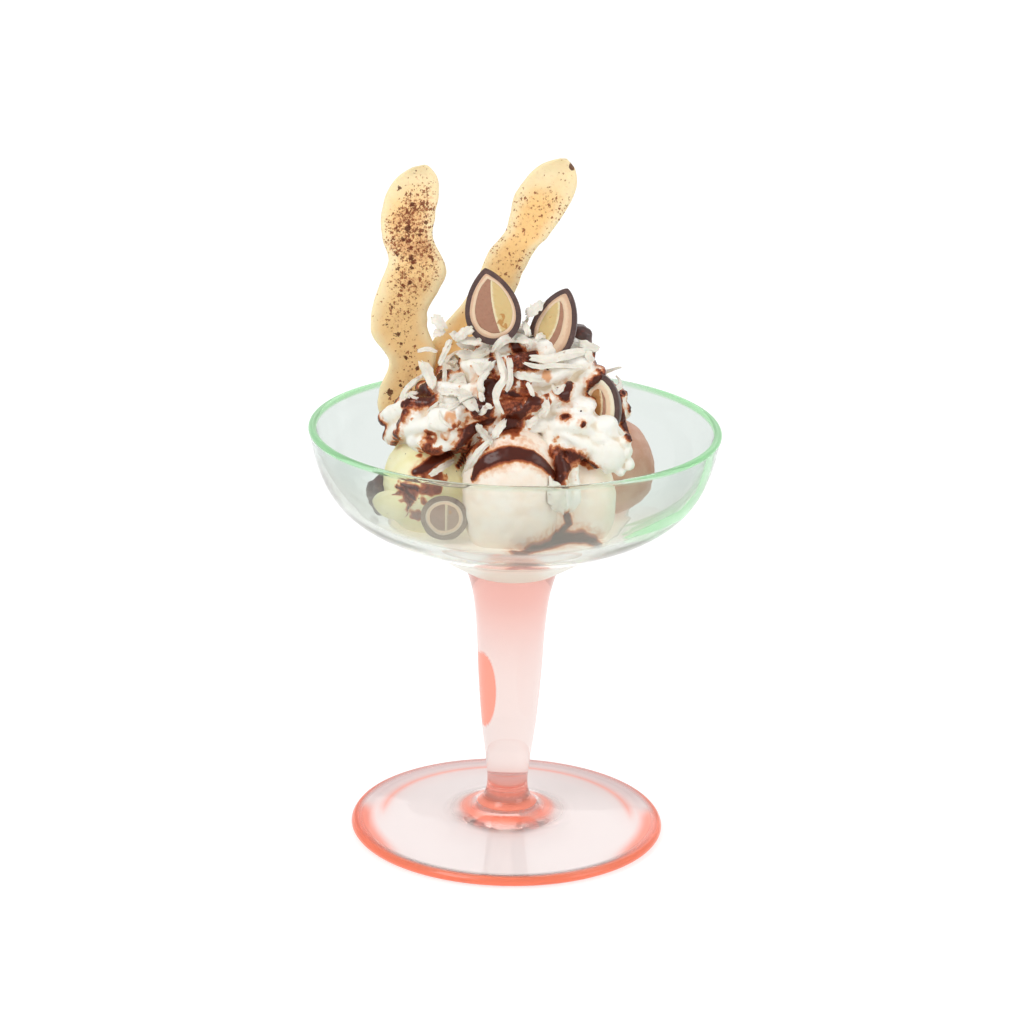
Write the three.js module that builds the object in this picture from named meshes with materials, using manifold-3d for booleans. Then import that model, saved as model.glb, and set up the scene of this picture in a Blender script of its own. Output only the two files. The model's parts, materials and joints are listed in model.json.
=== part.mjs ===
// Ice cream sundae in a footed dessert glass.
// Millimetres, +Z up. The origin is the middle of the foot's underside, on the glass's axis.
// The front of the sundae faces -Y, and +X is to its right.

import * as THREE from 'three';
import { mergeVertices } from 'three/addons/utils/BufferGeometryUtils.js';
import Module from 'manifold-3d';

const wasm = await Module();
wasm.setup();

// Driving dimensions of the glass
const RIM_RADIUS = 60;
const RIM_HEIGHT = 126;
const WALL = 2.3;
const JOINT_HEIGHT = 82;
const JOINT_RADIUS = 13.6;
const BOWL_FLOOR = 90;
const STEM_WAIST = 6.2;
const FOOT_RADIUS = 46.6;
const FOOT_EDGE = 3.3;
const FOOT_RING = [37, 44];
const FOOT_HOLLOW = 0.8;
const TURN_STEPS = 32;

// Driving dimensions of the filling
const GAP = 0.3;
const POOL_LEVEL = 96.8;
const ROPE_RIDGES = 6;
const RIDGE_DEPTH = 0.16;
const WAFER = 1.7;
const SHAVING = 1.1;
const COAT = 1.5;
const NOUGAT = 1.7;
const SEAM_ROUND = 16;
const SEAM_STEPS = 36;
const SAUCE = 1.6;
const SHAVINGS_AROUND = 9;

// Larger than the whole sundae, for the blocks and lines that reach past it
const BEYOND = 400;

const group = new THREE.Group();

// Joins and cuts

function toSolid(geometry) {
  const bare = geometry.clone();
  bare.deleteAttribute('normal');
  bare.deleteAttribute('uv');
  const merged = mergeVertices(bare, 1e-4);
  return new wasm.Manifold(new wasm.Mesh({
    numProp: 3,
    vertProperties: new Float32Array(merged.attributes.position.array),
    triVerts: new Uint32Array(merged.index.array),
  }));
}

function toGeometry(solid) {
  const mesh = solid.getMesh();
  const geometry = new THREE.BufferGeometry();
  geometry.setAttribute('position', new THREE.BufferAttribute(mesh.vertProperties, 3));
  geometry.setIndex(new THREE.BufferAttribute(mesh.triVerts, 1));
  geometry.computeVertexNormals();
  return geometry;
}

function joined(solids) {
  return solids.reduce((whole, solid) => whole.add(solid));
}

function without(solid, others) {
  return others.reduce((rest, other) => rest.subtract(other), solid);
}

// The largest body of a solid, so that no loose scrap is left where a neighbour cuts it.
function largest(solid, tolerance = 0.04) {
  const bodies = solid.asOriginal().simplify(tolerance).decompose();
  return bodies.reduce((best, body) => (body.volume() > best.volume() ? body : best));
}

function add(name, geometry, color, roughness, extra = {}) {
  const material = new THREE.MeshStandardMaterial({ color, roughness, metalness: 0, ...extra });
  const mesh = new THREE.Mesh(geometry, material);
  mesh.name = name;
  group.add(mesh);
}

// A repeatable draw between two numbers
function drawer(seed) {
  let state = seed;
  return (low, high) => {
    state = (state * 16807) % 2147483647;
    return low + (high - low) * (state / 2147483647);
  };
}

// Forms

// A surface turned about the upright axis, from a closed or axis-to-axis outline.
function turned(outline) {
  const geometry = new THREE.LatheGeometry(outline, TURN_STEPS);
  geometry.rotateX(Math.PI / 2);
  return toSolid(geometry);
}

function spline(points, count) {
  const curve = new THREE.SplineCurve(points.map(([r, z]) => new THREE.Vector2(r, z)));
  return curve.getPoints(count);
}

// A rounded lump: a squarish ellipsoid with low, smooth unevenness.
function lump({ at, size, square = 2.3, uneven = 0.03, seed = 1 }, grow = 0, detail = [14, 8]) {
  const geometry = new THREE.SphereGeometry(1, detail[0], detail[1]);
  geometry.rotateX(Math.PI / 2);
  const position = geometry.attributes.position;
  const p = new THREE.Vector3();
  for (let i = 0; i < position.count; i += 1) {
    p.fromBufferAttribute(position, i).normalize();
    const sum = Math.abs(p.x) ** square + Math.abs(p.y) ** square + Math.abs(p.z) ** square;
    const wave = Math.sin(3 * p.x + seed) + Math.sin(4 * p.y + 2 * seed) + Math.sin(3 * p.z - seed);
    const reach = sum ** (-1 / square) * (1 + uneven * wave);
    position.setXYZ(
      i,
      at[0] + p.x * (size[0] * reach + grow),
      at[1] + p.y * (size[1] * reach + grow),
      at[2] + p.z * (size[2] * reach + grow),
    );
  }
  return toSolid(geometry);
}

// A bar bent along a path. shape(angle, t) gives how far its skin is from the path.
function bent(path, sides, steps, shape) {
  const geometry = new THREE.CylinderGeometry(1, 1, 1, sides, steps);
  const position = geometry.attributes.position;
  const frames = path.computeFrenetFrames(steps, false);
  for (let i = 0; i < position.count; i += 1) {
    const t = 0.5 - position.getY(i);
    const step = Math.round(t * steps);
    const angle = Math.atan2(position.getZ(i), position.getX(i));
    const reach = Math.hypot(position.getX(i), position.getZ(i)) * shape(angle, t);
    const p = path.getPointAt(t);
    p.addScaledVector(frames.normals[step], reach * Math.cos(angle));
    p.addScaledVector(frames.binormals[step], reach * Math.sin(angle));
    position.setXYZ(i, p.x, p.y, p.z);
  }
  return toSolid(geometry);
}

// Piped cream: a rope with ridges, drawn in at its ends.
function piped(path, radius, steps, tip = 0.45) {
  return bent(path, ROPE_RIDGES * 2, steps, (angle, t) => {
    const end = Math.min(1, Math.min(t, 1 - t) * steps / 2);
    const taper = tip + (1 - tip) * Math.sqrt(end);
    return radius * taper * (1 + RIDGE_DEPTH * Math.cos(ROPE_RIDGES * (angle - Math.PI / 2)));
  });
}

function route(points) {
  return new THREE.CatmullRomCurve3(points.map((p) => new THREE.Vector3(...p)));
}

// The glass

const bowlOutside = spline([
  [JOINT_RADIUS, JOINT_HEIGHT],
  [19, 85.2],
  [27, 90],
  [36, 94],
  [44.7, 98.2],
  [50.8, 103],
  [55.1, 109],
  [57.9, 116],
  [59.3, 122],
  [RIM_RADIUS, RIM_HEIGHT - WALL / 2],
], 13);
const bowlInside = spline([
  [RIM_RADIUS - WALL, RIM_HEIGHT - WALL / 2],
  [57, 122],
  [55.6, 116],
  [52.8, 109.8],
  [48.7, 104.4],
  [42.8, 100.2],
  [34.5, 96.3],
  [25, 92.9],
  [12, 90.5],
  [0, BOWL_FLOOR],
], 11);
const rimCrest = new THREE.Vector2(RIM_RADIUS - WALL / 2, RIM_HEIGHT);

const bowl = turned([
  new THREE.Vector2(0, JOINT_HEIGHT),
  ...bowlOutside,
  rimCrest,
  ...bowlInside,
]);

const stemOutside = spline([
  [21, 5.0],
  [15.5, 6.0],
  [9, 8.2],
  [STEM_WAIST, 13],
  [6.6, 22],
  [8.2, 35],
  [9.4, 50],
  [10, 62],
  [11, 72],
  [12.3, 78],
  [JOINT_RADIUS, JOINT_HEIGHT],
], 13);
const stemFoot = turned([
  new THREE.Vector2(0, FOOT_HOLLOW),
  new THREE.Vector2(FOOT_RING[0] - 4, FOOT_HOLLOW),
  new THREE.Vector2(FOOT_RING[0], 0),
  new THREE.Vector2(FOOT_RING[1], 0),
  new THREE.Vector2(FOOT_RADIUS - 0.5, FOOT_EDGE * 0.22),
  new THREE.Vector2(FOOT_RADIUS, FOOT_EDGE * 0.5),
  new THREE.Vector2(FOOT_RADIUS - 0.6, FOOT_EDGE * 0.85),
  new THREE.Vector2(FOOT_RADIUS - 2.2, FOOT_EDGE),
  new THREE.Vector2(34, 4.0),
  ...stemOutside,
  new THREE.Vector2(0, JOINT_HEIGHT),
]);

// The room inside the bowl that food can fill up to a level, just clear of the glass. Above
// the rim it goes straight up.
function roomInside(level) {
  const wall = bowlInside
    .map((p) => new THREE.Vector2(Math.max(0, p.x - GAP), p.y + GAP))
    .reverse();
  const below = wall.filter((p) => p.y < level);
  const next = wall[below.length] ?? new THREE.Vector2(wall.at(-1).x, BEYOND);
  const last = below.at(-1);
  const share = (level - last.y) / (next.y - last.y);
  const edge = last.x + (next.x - last.x) * share;
  return turned([...below, new THREE.Vector2(edge, level), new THREE.Vector2(0, level)]);
}
const bowlRoom = roomInside(BEYOND / 2);

// The wafers

// A flat baked ribbon between its left and right edges, which waves gently to front and back.
// Each row holds a place on the left edge and the place across from it: x, height, x, height.
function wafer(rows, depth, lean, waves, grow = 0) {
  const along = 22;
  const left = route(rows.map((row) => [row[0], 0, row[1]]));
  const right = route(rows.map((row) => [row[2], 0, row[3]]));
  const geometry = new THREE.BoxGeometry(2, 2, 1, 2, 1, along);
  const position = geometry.attributes.position;
  const middle = new THREE.Vector3();
  const half = new THREE.Vector3();
  for (let i = 0; i < position.count; i += 1) {
    const across = position.getX(i);
    const side = position.getY(i);
    const t = 0.5 - position.getZ(i);
    const a = left.getPoint(t);
    const b = right.getPoint(t);
    middle.addVectors(a, b).multiplyScalar(0.5);
    half.subVectors(b, a).multiplyScalar(0.5);
    half.setLength(half.length() + grow);
    const wave = Math.sin(2 * Math.PI * waves * t + 0.6 * across);
    position.setXYZ(
      i,
      middle.x + half.x * across,
      depth + lean * (t - 0.5) + 1.6 * wave + side * (WAFER / 2 + grow),
      middle.z + half.z * across,
    );
  }
  return toSolid(geometry);
}

const leftWafer = [
  [-32.0, 199.6, -25.8, 199.8],
  [-35.9, 196.2, -23.6, 196.4],
  [-38.6, 191.5, -23.3, 191.5],
  [-39.9, 185.5, -24.4, 185.5],
  [-39.4, 179, -24.6, 179.5],
  [-37.6, 172.5, -21.2, 171.5],
  [-40.2, 165, -22, 165.5],
  [-42.2, 158, -25.9, 158],
  [-42.2, 150, -26, 152],
  [-37.2, 141.5, -23.5, 144],
  [-39.8, 133.5, -25.5, 134],
  [-40.2, 126.5, -26, 126],
  [-36.4, 118, -24, 118],
  [-32.5, 111.5, -25, 111.5],
];
const rightWafer = [
  [10.9, 202.8, 13.2, 202.3],
  [6.2, 201, 15.7, 198.8],
  [1.6, 196.6, 15.9, 193],
  [-1.6, 191, 12.6, 186],
  [-3.1, 184.6, 8.1, 179.3],
  [-4.4, 180.4, 5, 176.2],
  [-9.4, 173.4, 1.2, 168.8],
  [-12.3, 165.8, -1.6, 161.5],
  [-16, 159.2, -6, 154.3],
  [-21.5, 152.5, -12, 147],
  [-27, 143, -18.5, 138],
  [-29, 137, -23, 133.5],
];
const wafers = (grow) => [
  wafer(leftWafer, 7.5, 4, 1.7, grow),
  wafer(rightWafer, 12, 3, 1.2, grow),
];
const [waferLeft, waferRight] = wafers(0);

// The halved filled chocolates

// An almond-shaped sweet standing on its blunt end, its length along Z, cut off at y = 0.
function almond(length, half, inset, point) {
  const geometry = new THREE.SphereGeometry(1, 12, 9);
  geometry.rotateX(Math.PI / 2);
  const position = geometry.attributes.position;
  for (let i = 0; i < position.count; i += 1) {
    const z = position.getZ(i);
    const ring = Math.hypot(position.getX(i), position.getY(i));
    const fromTip = (1 - z) / 2;
    const swell = ring < 1e-6 ? 0 : fromTip ** point * (1 - fromTip) ** 0.5;
    const fullest = (point / (point + 0.5)) ** point * (0.5 / (point + 0.5)) ** 0.5;
    const reach = ring < 1e-6 ? 0 : ((half - inset) * swell) / fullest / ring;
    position.setXYZ(
      i,
      position.getX(i) * reach,
      position.getY(i) * reach,
      z * (length / 2 - inset * 1.2),
    );
  }
  return toSolid(geometry);
}

// A block larger than the sundae, whose flat side makes a cut.
const HALF = BEYOND / 2;
function blockAt(x, y, z) {
  const geometry = new THREE.BoxGeometry(BEYOND, BEYOND, BEYOND);
  geometry.translate(x, y, z);
  return toSolid(geometry);
}

// A round bar along Y, larger than a sweet, whose side faces away from the yellow filling.
function seamBar(seam, yellow, round, grow) {
  const radius = round + grow;
  const geometry = new THREE.CylinderGeometry(radius, radius, BEYOND, SEAM_STEPS);
  geometry.rotateY(Math.PI / SEAM_STEPS);
  geometry.translate(seam + yellow * round, 0, 0);
  return toSolid(geometry);
}

// Coat, nougat, and two fillings behind a round seam, each with its gap, before the sweet is
// placed. The fillings lie aside from the middle, with the yellow one to the right for 1 and to
// the left for -1. The sweet is halved lengthwise, or across where cross is set.
function halvedSweet(size) {
  const { length, half, point, seam, yellow, aside, round = SEAM_ROUND } = size;
  const { nougat: pale = NOUGAT, cross = false } = size;
  const layer = (inset) => almond(length, half, inset, point);
  const kept = (past) => (cross ? blockAt(0, 0, past - HALF) : blockAt(0, HALF - past, 0));
  const coat = layer(0).subtract(layer(COAT)).intersect(kept(0));
  const hollow = layer(COAT + GAP + pale).translate([aside, 0, 0]);
  const nougat = layer(COAT + GAP).subtract(hollow).intersect(kept(0));
  const core = layer(COAT + pale + 2 * GAP).translate([aside, 0, 0]).intersect(kept(0));
  return {
    coat,
    nougat,
    praline: core.subtract(seamBar(seam, yellow, round, GAP / 2)),
    marzipan: core.intersect(seamBar(seam, yellow, round, -GAP / 2)),
    whole: layer(-GAP).intersect(kept(GAP)),
  };
}

// tilt leans the sweet's tip to the right, turn swings its cut face to the left and nod
// tips the face up, all in degrees.
const SWEETS = {
  sweet_left: {
    at: [-7.5, -8, 163.4], tilt: -11.7, turn: 4, nod: -8, length: 22.2,
    half: 8, point: 0.79, seam: 0.2, yellow: 1, aside: 0.3, nougat: 0.9,
    round: 34,
  },
  sweet_right: {
    at: [10.5, -7.5, 158], tilt: 16, turn: 22, nod: -8, length: 23,
    half: 6.7, point: 0.72, seam: 0.7, yellow: -1, aside: -0.8,
  },
  sweet_side: {
    at: [24, -12, 135.4], tilt: -6, turn: 30, nod: -12, length: 19,
    half: 6.4, point: 0.6, seam: 1, yellow: -1, aside: -0.8,
  },
  sweet_low: {
    at: [-19.6, -25.5, 105.3], tilt: 0, turn: 0, nod: 80, length: 17,
    half: 6.8, point: 0.5, seam: 0.2, yellow: 1, aside: 0, nougat: 1.1, cross: true,
  },
};

function placed(solid, { at, tilt, turn, nod }) {
  return solid.rotate([nod, 0, 0]).rotate([0, tilt, 0]).rotate([0, 0, -turn]).translate(at);
}

const sweets = Object.entries(SWEETS).map(([name, size]) => {
  const layers = halvedSweet(size);
  const set = Object.fromEntries(
    Object.entries(layers).map(([layer, solid]) => [layer, placed(solid, size)]),
  );
  return { name, ...set };
});

// The ice cream

const scoops = {
  scoop_front: { at: [-0.9, -18, 110.3], size: [13.8, 13.8, 19.4], square: 2.6, uneven: 0.012 },
  scoop_right: { at: [17.2, -8, 106.3], size: [13.2, 13.2, 13.8], square: 2.5, seed: 2 },
  scoop_vanilla: { at: [-25, -8.5, 109.5], size: [13.4, 13.2, 14], square: 2.3, seed: 3 },
  scoop_chocolate: { at: [26, 10, 111], size: [14, 13.6, 15], square: 2.3, seed: 4 },
  scoop_back: { at: [-8, 19, 108.5], size: [14, 13.4, 15.5], square: 2.3, seed: 5 },
};
const vanillaLump = { at: [-34.8, -20.5, 107], size: [5.2, 4.6, 4.6], uneven: 0.06, seed: 6 };
const chunks = {
  chocolate_chunk_left: { at: [-39.2, -11, 106.5], size: [3, 3.6, 5.4], uneven: 0.09, seed: 7 },
  chocolate_chunk_back: { at: [17.9, 4.5, 149.2], size: [4.4, 4, 5.4], uneven: 0.07, seed: 8 },
};

// Each piece is cut back to clear the pieces before it in this order. The scoops stand on
// what has melted from them, which fills the bottom of the bowl.
const pool = roomInside(POOL_LEVEL);
const grownPool = blockAt(0, 0, POOL_LEVEL + GAP - HALF);
const wholeSweets = sweets.map((sweet) => sweet.whole);
const thickWafers = wafers(GAP);
const firm = [...wholeSweets, ...thickWafers, grownPool];
const names = Object.keys(scoops);
const grownScoops = names.map((name) => lump(scoops[name], GAP));
const cut = {};
names.forEach((name, index) => {
  const inBowl = lump(scoops[name]).intersect(bowlRoom);
  cut[name] = largest(without(inBowl, [...grownScoops.slice(0, index), ...firm]));
});
const SMALL = [10, 6];
const grownLump = lump(vanillaLump, GAP, SMALL);
const lumpInBowl = lump(vanillaLump, 0, SMALL).intersect(bowlRoom);
cut.vanilla_lump = largest(without(lumpInBowl, [...grownScoops, ...firm]));
const cutChunks = Object.entries(chunks).map(([name, chunk]) => [
  name,
  largest(without(lump(chunk, 0, SMALL).intersect(bowlRoom), [...grownScoops, ...firm])),
]);
const grownChunks = Object.values(chunks).map((chunk) => lump(chunk, GAP, SMALL));

// The whipped cream

// Arcs of rope make the rounds of the heap, wider than deep. Start and sweep are in degrees,
// counted from the right, and the front is at 270.
const DEPTH_SHARE = 0.78;
class Round extends THREE.Curve {
  constructor(round) {
    super();
    Object.assign(this, round);
  }

  getPoint(t, target = new THREE.Vector3()) {
    const angle = THREE.MathUtils.degToRad(this.start + t * this.sweep);
    return target.set(
      this.middle + this.reach * Math.cos(angle),
      2 + DEPTH_SHARE * this.reach * Math.sin(angle),
      this.height + this.rise * t,
    );
  }
}

const ROUNDS = [
  { start: 160, sweep: 122, middle: -1, reach: 19.5, height: 132, rise: 3, radius: 8, steps: 6 },
  { start: 262, sweep: 112, middle: -1, reach: 19, height: 134, rise: 2, radius: 8, steps: 6 },
  { start: 5, sweep: 165, middle: -1, reach: 19, height: 133, rise: 2, radius: 8, steps: 7 },
  { start: 185, sweep: 165, middle: 2, reach: 13, height: 142, rise: 2, radius: 7.2, steps: 6 },
  { start: 345, sweep: 205, middle: 3, reach: 13, height: 142, rise: 2, radius: 7.2, steps: 7 },
];

const LEFT_ROPE = [[-33, 1, 124], [-28, -8, 128.5], [-20, -14, 130], [-11, -13, 133]];
const RIGHT_ROPE = [[6, -9, 135], [14, -12, 132], [22.5, -11, 125.6], [30, -8, 121]];
const BACK_ROPE = [[29, 6, 129], [20, 17, 127], [0, 21, 126.5], [-18, 18, 126], [-28, 9, 125]];
const LOW_ROPE = [[10, -12, 129], [13, -19, 120], [13.6, -24, 109]];
const TOP_ROPE = [[-9, 0, 147], [3, -2.5, 148.5], [13, -3, 147], [21, -2, 145]];
const creamParts = [
  ...ROUNDS.map((round) => piped(new Round(round), round.radius, round.steps)),
  lump({ at: [0, 1, 127], size: [23, 15, 19], square: 2.2 }, 0, [12, 7]),
  lump({ at: [2, 4, 112], size: [13, 12, 18], square: 2.2 }, 0, [10, 6]),
  piped(route(LEFT_ROPE), 7.8, 6),
  piped(route(RIGHT_ROPE), 6.8, 6, 0.7),
  piped(route(BACK_ROPE), 8, 8),
  piped(route(LOW_ROPE), 4.4, 5, 0.5),
  piped(route(TOP_ROPE), 6.4, 7, 0.6),
];

function sauceThread(points) {
  return bent(route(points), 5, 5, (angle, t) => SAUCE * (0.75 + 0.25 * Math.sin(9 * t)));
}

const heap = joined(creamParts);

// A point on the heap seen from one side: the first surface that a line from outside meets.
const heapMesh = new THREE.Mesh(toGeometry(heap));
const probe = new THREE.Raycaster();
function landing(from, towards) {
  probe.set(from, towards.clone().sub(from).normalize());
  const [hit] = probe.intersectObject(heapMesh);
  return hit;
}

// A curl of shaved white chocolate, lying where the hit is and turned about its normal.
function shaving(hit, length, width, turn, curl, lift) {
  const geometry = new THREE.BoxGeometry(length, width, SHAVING, 3, 1, 1);
  const position = geometry.attributes.position;
  for (let i = 0; i < position.count; i += 1) {
    const share = position.getX(i) / (length / 2);
    position.setZ(i, position.getZ(i) - curl * share * share + 0.4 * SHAVING);
    position.setY(i, position.getY(i) * (1 - 0.35 * share * share));
  }
  geometry.rotateY(THREE.MathUtils.degToRad(-lift));
  geometry.rotateZ(THREE.MathUtils.degToRad(turn));
  const facing = new THREE.Matrix4();
  const normal = hit.face.normal.clone();
  const side = new THREE.Vector3(0, 0, 1).cross(normal).normalize();
  const up = normal.clone().cross(side);
  facing.makeBasis(side, up, normal).setPosition(hit.point);
  geometry.applyMatrix4(facing);
  return toSolid(geometry);
}

// Shavings on the front: [x, height, length, width, turn, curl, lift]
const FRONT_SHAVINGS = [
  [-23, 138, 14, 5, 82, 1, 6],
  [-16, 141, 15, 5.4, 40, 2.5, -10],
  [-19, 138, 14, 4, 75, 1, 4],
  [-13, 143, 17, 6, -55, 2, 0],
  [-10, 150, 10, 6, -30, 1.5, 12],
  [-4, 143, 17, 4, 84, 2.5, 0],
  [4, 143, 9, 6.5, 20, 1, 8],
  [10, 149, 16, 4.2, -5, 2, 6],
  [13, 139, 8, 4, 60, 1, 15],
  [-6.5, 129, 13, 3.2, 62, 1, 0],
  [-11, 124, 13, 3.2, 50, 1, 4],
  [-20, 121, 10, 3.2, 35, 1, 0],
  [8, 134, 12, 4, 70, 2, 5],
  [19, 142, 8, 4, 50, 1, 8],
];

const shavings = [];
FRONT_SHAVINGS.forEach(([x, z, length, width, turn, curl, lift]) => {
  const hit = landing(new THREE.Vector3(x, -BEYOND, z), new THREE.Vector3(x, 0, z));
  shavings.push(shaving(hit, length, width, turn, curl, lift));
});

// The rest lie round the sides and the back, in three rows.
const draw = drawer(41);
for (let i = 0; i < SHAVINGS_AROUND; i += 1) {
  const angle = THREE.MathUtils.degToRad(5 + (170 * (i + draw(0.2, 0.8))) / SHAVINGS_AROUND);
  const height = 134 + 7 * (i % 3) + draw(-2, 2);
  const from = new THREE.Vector3(BEYOND * Math.cos(angle), BEYOND * Math.sin(angle), height);
  const hit = landing(from, new THREE.Vector3(2, 1, height));
  shavings.push(shaving(hit, draw(9, 15), draw(3.5, 6), draw(0, 180), draw(0.5, 2), draw(-8, 12)));
}

// Thick threads of chocolate sauce over the cream
const threads = [
  sauceThread([[-8, -21.5, 137], [-14, -22.5, 128], [-22, -20, 120]]),
  sauceThread([[2, -19, 142], [-3, -21, 132], [-9, -23, 124]]),
  sauceThread([[-36, -4, 134], [-29, -15, 136.5], [-20, -19, 137]]),
];

const neighbours = [...grownScoops, ...firm, ...grownChunks, grownLump];
const dressed = joined([heap, ...shavings, ...threads]);
const cream = largest(without(dressed, neighbours).intersect(bowlRoom), 0.08);

// Colours

const CLEAR = { transparent: true, opacity: 0.35 };
add('glass_bowl', toGeometry(bowl), '#dfeee6', 0.05, CLEAR);
add('glass_stem_foot', toGeometry(stemFoot), '#f6bfb2', 0.05, CLEAR);
add('melted_ice_cream', toGeometry(pool), '#f1e9dc', 0.4);
const scoopColours = {
  scoop_front: '#f0e4d8',
  scoop_right: '#f0e4d8',
  scoop_vanilla: '#ebe6ba',
  scoop_chocolate: '#bc8a72',
  scoop_back: '#f0e4d8',
  vanilla_lump: '#ebe6ba',
};
Object.entries(scoopColours).forEach(([name, color]) => {
  add(name, toGeometry(cut[name]), color, 0.5);
});
add('whipped_cream', toGeometry(cream), '#fbf8f0', 0.5);
const layerColours = {
  coat: '#4b332f',
  nougat: '#ddb89c',
  praline: '#b08068',
  marzipan: '#d8c788',
};
sweets.forEach((sweet) => {
  Object.entries(layerColours).forEach(([layer, color]) => {
    const clear = without(sweet[layer], thickWafers);
    add(`${sweet.name}_${layer}`, toGeometry(largest(clear)), color, 0.45);
  });
});
cutChunks.forEach(([name, solid]) => {
  add(name, toGeometry(solid), '#4a2a24', 0.35);
});
add('wafer_left', toGeometry(waferLeft), '#f3d9a0', 0.75);
add('wafer_right', toGeometry(waferRight), '#f6d08e', 0.75);

export default group;
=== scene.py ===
"""An ice cream sundae in its footed glass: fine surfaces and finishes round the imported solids.

Sizes here are in millimetres and degrees, and the meshes are made in metres. The front is -Y.
"""
import itertools
import json
import math

import bmesh
import bpy
import numpy as np
from bpy.props import FloatProperty, FloatVectorProperty, IntProperty, PointerProperty
from mathutils import Matrix, Vector
from mathutils.bvhtree import BVHTree

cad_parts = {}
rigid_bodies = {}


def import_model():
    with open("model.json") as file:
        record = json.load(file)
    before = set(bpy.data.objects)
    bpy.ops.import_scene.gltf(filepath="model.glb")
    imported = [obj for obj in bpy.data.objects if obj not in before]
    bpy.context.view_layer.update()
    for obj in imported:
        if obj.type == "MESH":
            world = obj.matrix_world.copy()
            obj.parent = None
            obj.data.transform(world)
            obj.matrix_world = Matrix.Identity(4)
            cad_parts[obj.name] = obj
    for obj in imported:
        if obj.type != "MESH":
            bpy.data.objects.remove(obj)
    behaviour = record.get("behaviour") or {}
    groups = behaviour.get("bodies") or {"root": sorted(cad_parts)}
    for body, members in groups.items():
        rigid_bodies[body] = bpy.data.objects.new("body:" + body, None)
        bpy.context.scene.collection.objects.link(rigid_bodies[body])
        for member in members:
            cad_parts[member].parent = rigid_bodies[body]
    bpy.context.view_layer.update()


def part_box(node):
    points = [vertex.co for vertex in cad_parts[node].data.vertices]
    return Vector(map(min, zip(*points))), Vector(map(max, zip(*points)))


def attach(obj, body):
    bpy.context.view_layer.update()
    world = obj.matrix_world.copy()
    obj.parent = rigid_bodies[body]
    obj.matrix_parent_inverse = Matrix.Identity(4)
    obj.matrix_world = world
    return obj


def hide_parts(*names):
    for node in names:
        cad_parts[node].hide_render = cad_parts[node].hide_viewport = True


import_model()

bl_info = {
    "name": "Ice cream sundae",
    "version": (1, 0, 0),
    "blender": (4, 5, 0),
    "location": "3D View > Sidebar > Sundae",
    "description": "Builds a sundae in its footed glass around the packed model",
    "category": "Add Mesh",
}

MM = 0.001

# The glass, as its solids have it: radius and height
BOWL_OUTSIDE = [
    (13.6, 82), (19, 85.2), (27, 90), (36, 94), (44.7, 98.2),
    (50.8, 103), (55.1, 109), (57.9, 116), (59.3, 122), (60, 124.85),
]
BOWL_INSIDE = [
    (57.7, 124.85), (57, 122), (55.6, 116), (52.8, 109.8), (48.7, 104.4),
    (42.8, 100.2), (34.5, 96.3), (25, 92.9), (12, 90.5), (0, 90),
]
GLASS_COLUMNS = 240
# Where the two colours meet, the hair's breadth that parts them, and the reach of the flat there
JOINT_HEIGHT = 82
JOINT_GAP = 0.02
JOINT_REACH = 7
# How much each glass bends light, how much its coloured edge and its pale film hide it, and how
# strongly the edge glows with painted light
BOWL_BEND = 1.2
STEM_BEND = 1.35
EDGE_FILM = 0.66
EDGE_GLOW = 0.22
HAZE_FILM = 0.6
# Heights over which the rim turns green, the low haze ends and the faint veil on the front ends
RIM_BAND = (124.2, 125.2)
HAZE_BAND = (88.5, 93.5)
VEIL_BAND = (114, 124)
# How strong each is, the rim's green at the front and back as a share of that at its sides
RIM_LEAST = 0.15
HAZE = 1.45
VEIL = 0.2
# How shaded the bowl's wall is towards its sides, as strength and shares of the way to the side,
# how shaded at the back, and how shaded below a height all round
SIDE_SHADES = [(0.4, 0.55, 0.85), (0.6, 0.85, 0.99)]
BACK_SHADE = 0.43
LOW_SHADE = 0.1
LOW_HEIGHT = 94
# A painted reflection of the green rim: a streak on the bowl's wall, low on the right: the places
# it passes, with its reach
REFLECTED_STREAK = [
    (32.5, 92, 0.5), (37.2, 93.8, 1.1), (42, 95.8, 1.6), (49.9, 100, 1.9), (54.1, 106, 1.4),
    (56.5, 114.8, 1.3), (57.5, 120.6, 1),
]
REFLECTED_STREAK_STRENGTH = 0.55

# The foot from its hollow to its top, and the stem, as their solids have them
FOOT = [
    (33, 0.8), (37, 0), (44, 0), (46.1, 0.73), (46.6, 1.65), (46, 2.8), (44.4, 3.3), (34, 4),
]
STEM_OUTSIDE = [
    (21, 5), (15.5, 6), (9, 8.2), (6.2, 13), (6.6, 22), (8.2, 35),
    (9.4, 50), (10, 62), (11, 72), (12.3, 78), (13.6, 82),
]
HOLLOW_REACH = 16
# Distances from the axis over which the foot's edge turns salmon, and the pale film of painted
# light on the foot starts and ends; the reach and height of the neck; where the stem starts and
# its top turns pink
FOOT_EDGE = (44, 45.8)
PALE_FROM = (14, 20)
PALE_TO = (43, 45)
NECK = 9
STEM_FROM = 24
STEM_TOP = (42, 79)
# The salmon wedges at the foot's sides: by distance from the axis, to the side and to the front
WEDGE_REACH = (37, 45)
WEDGE_SIDE = (26, 42)
WEDGE_FRONT = (-14, 2)
# Salmon bands on the pink glass: middle, half width and strength. The first is measured from
# the axis, and so is the knob; the two on the stem are measured up from the table.
FOOT_RING = (37.3, 2, 0.3)
KNOB_RING = (12.3, 2.1, 0.75)
NECK_BANDS = [(9, 2, 0.8), (13.5, 4, 0.42)]
# A painted reflection: the darker patch on the left of the stem: x, height, half width, half
# height, strength
STEM_REFLECTION = (-8, 45.3, 3.8, 11.2, 0.72)

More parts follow.
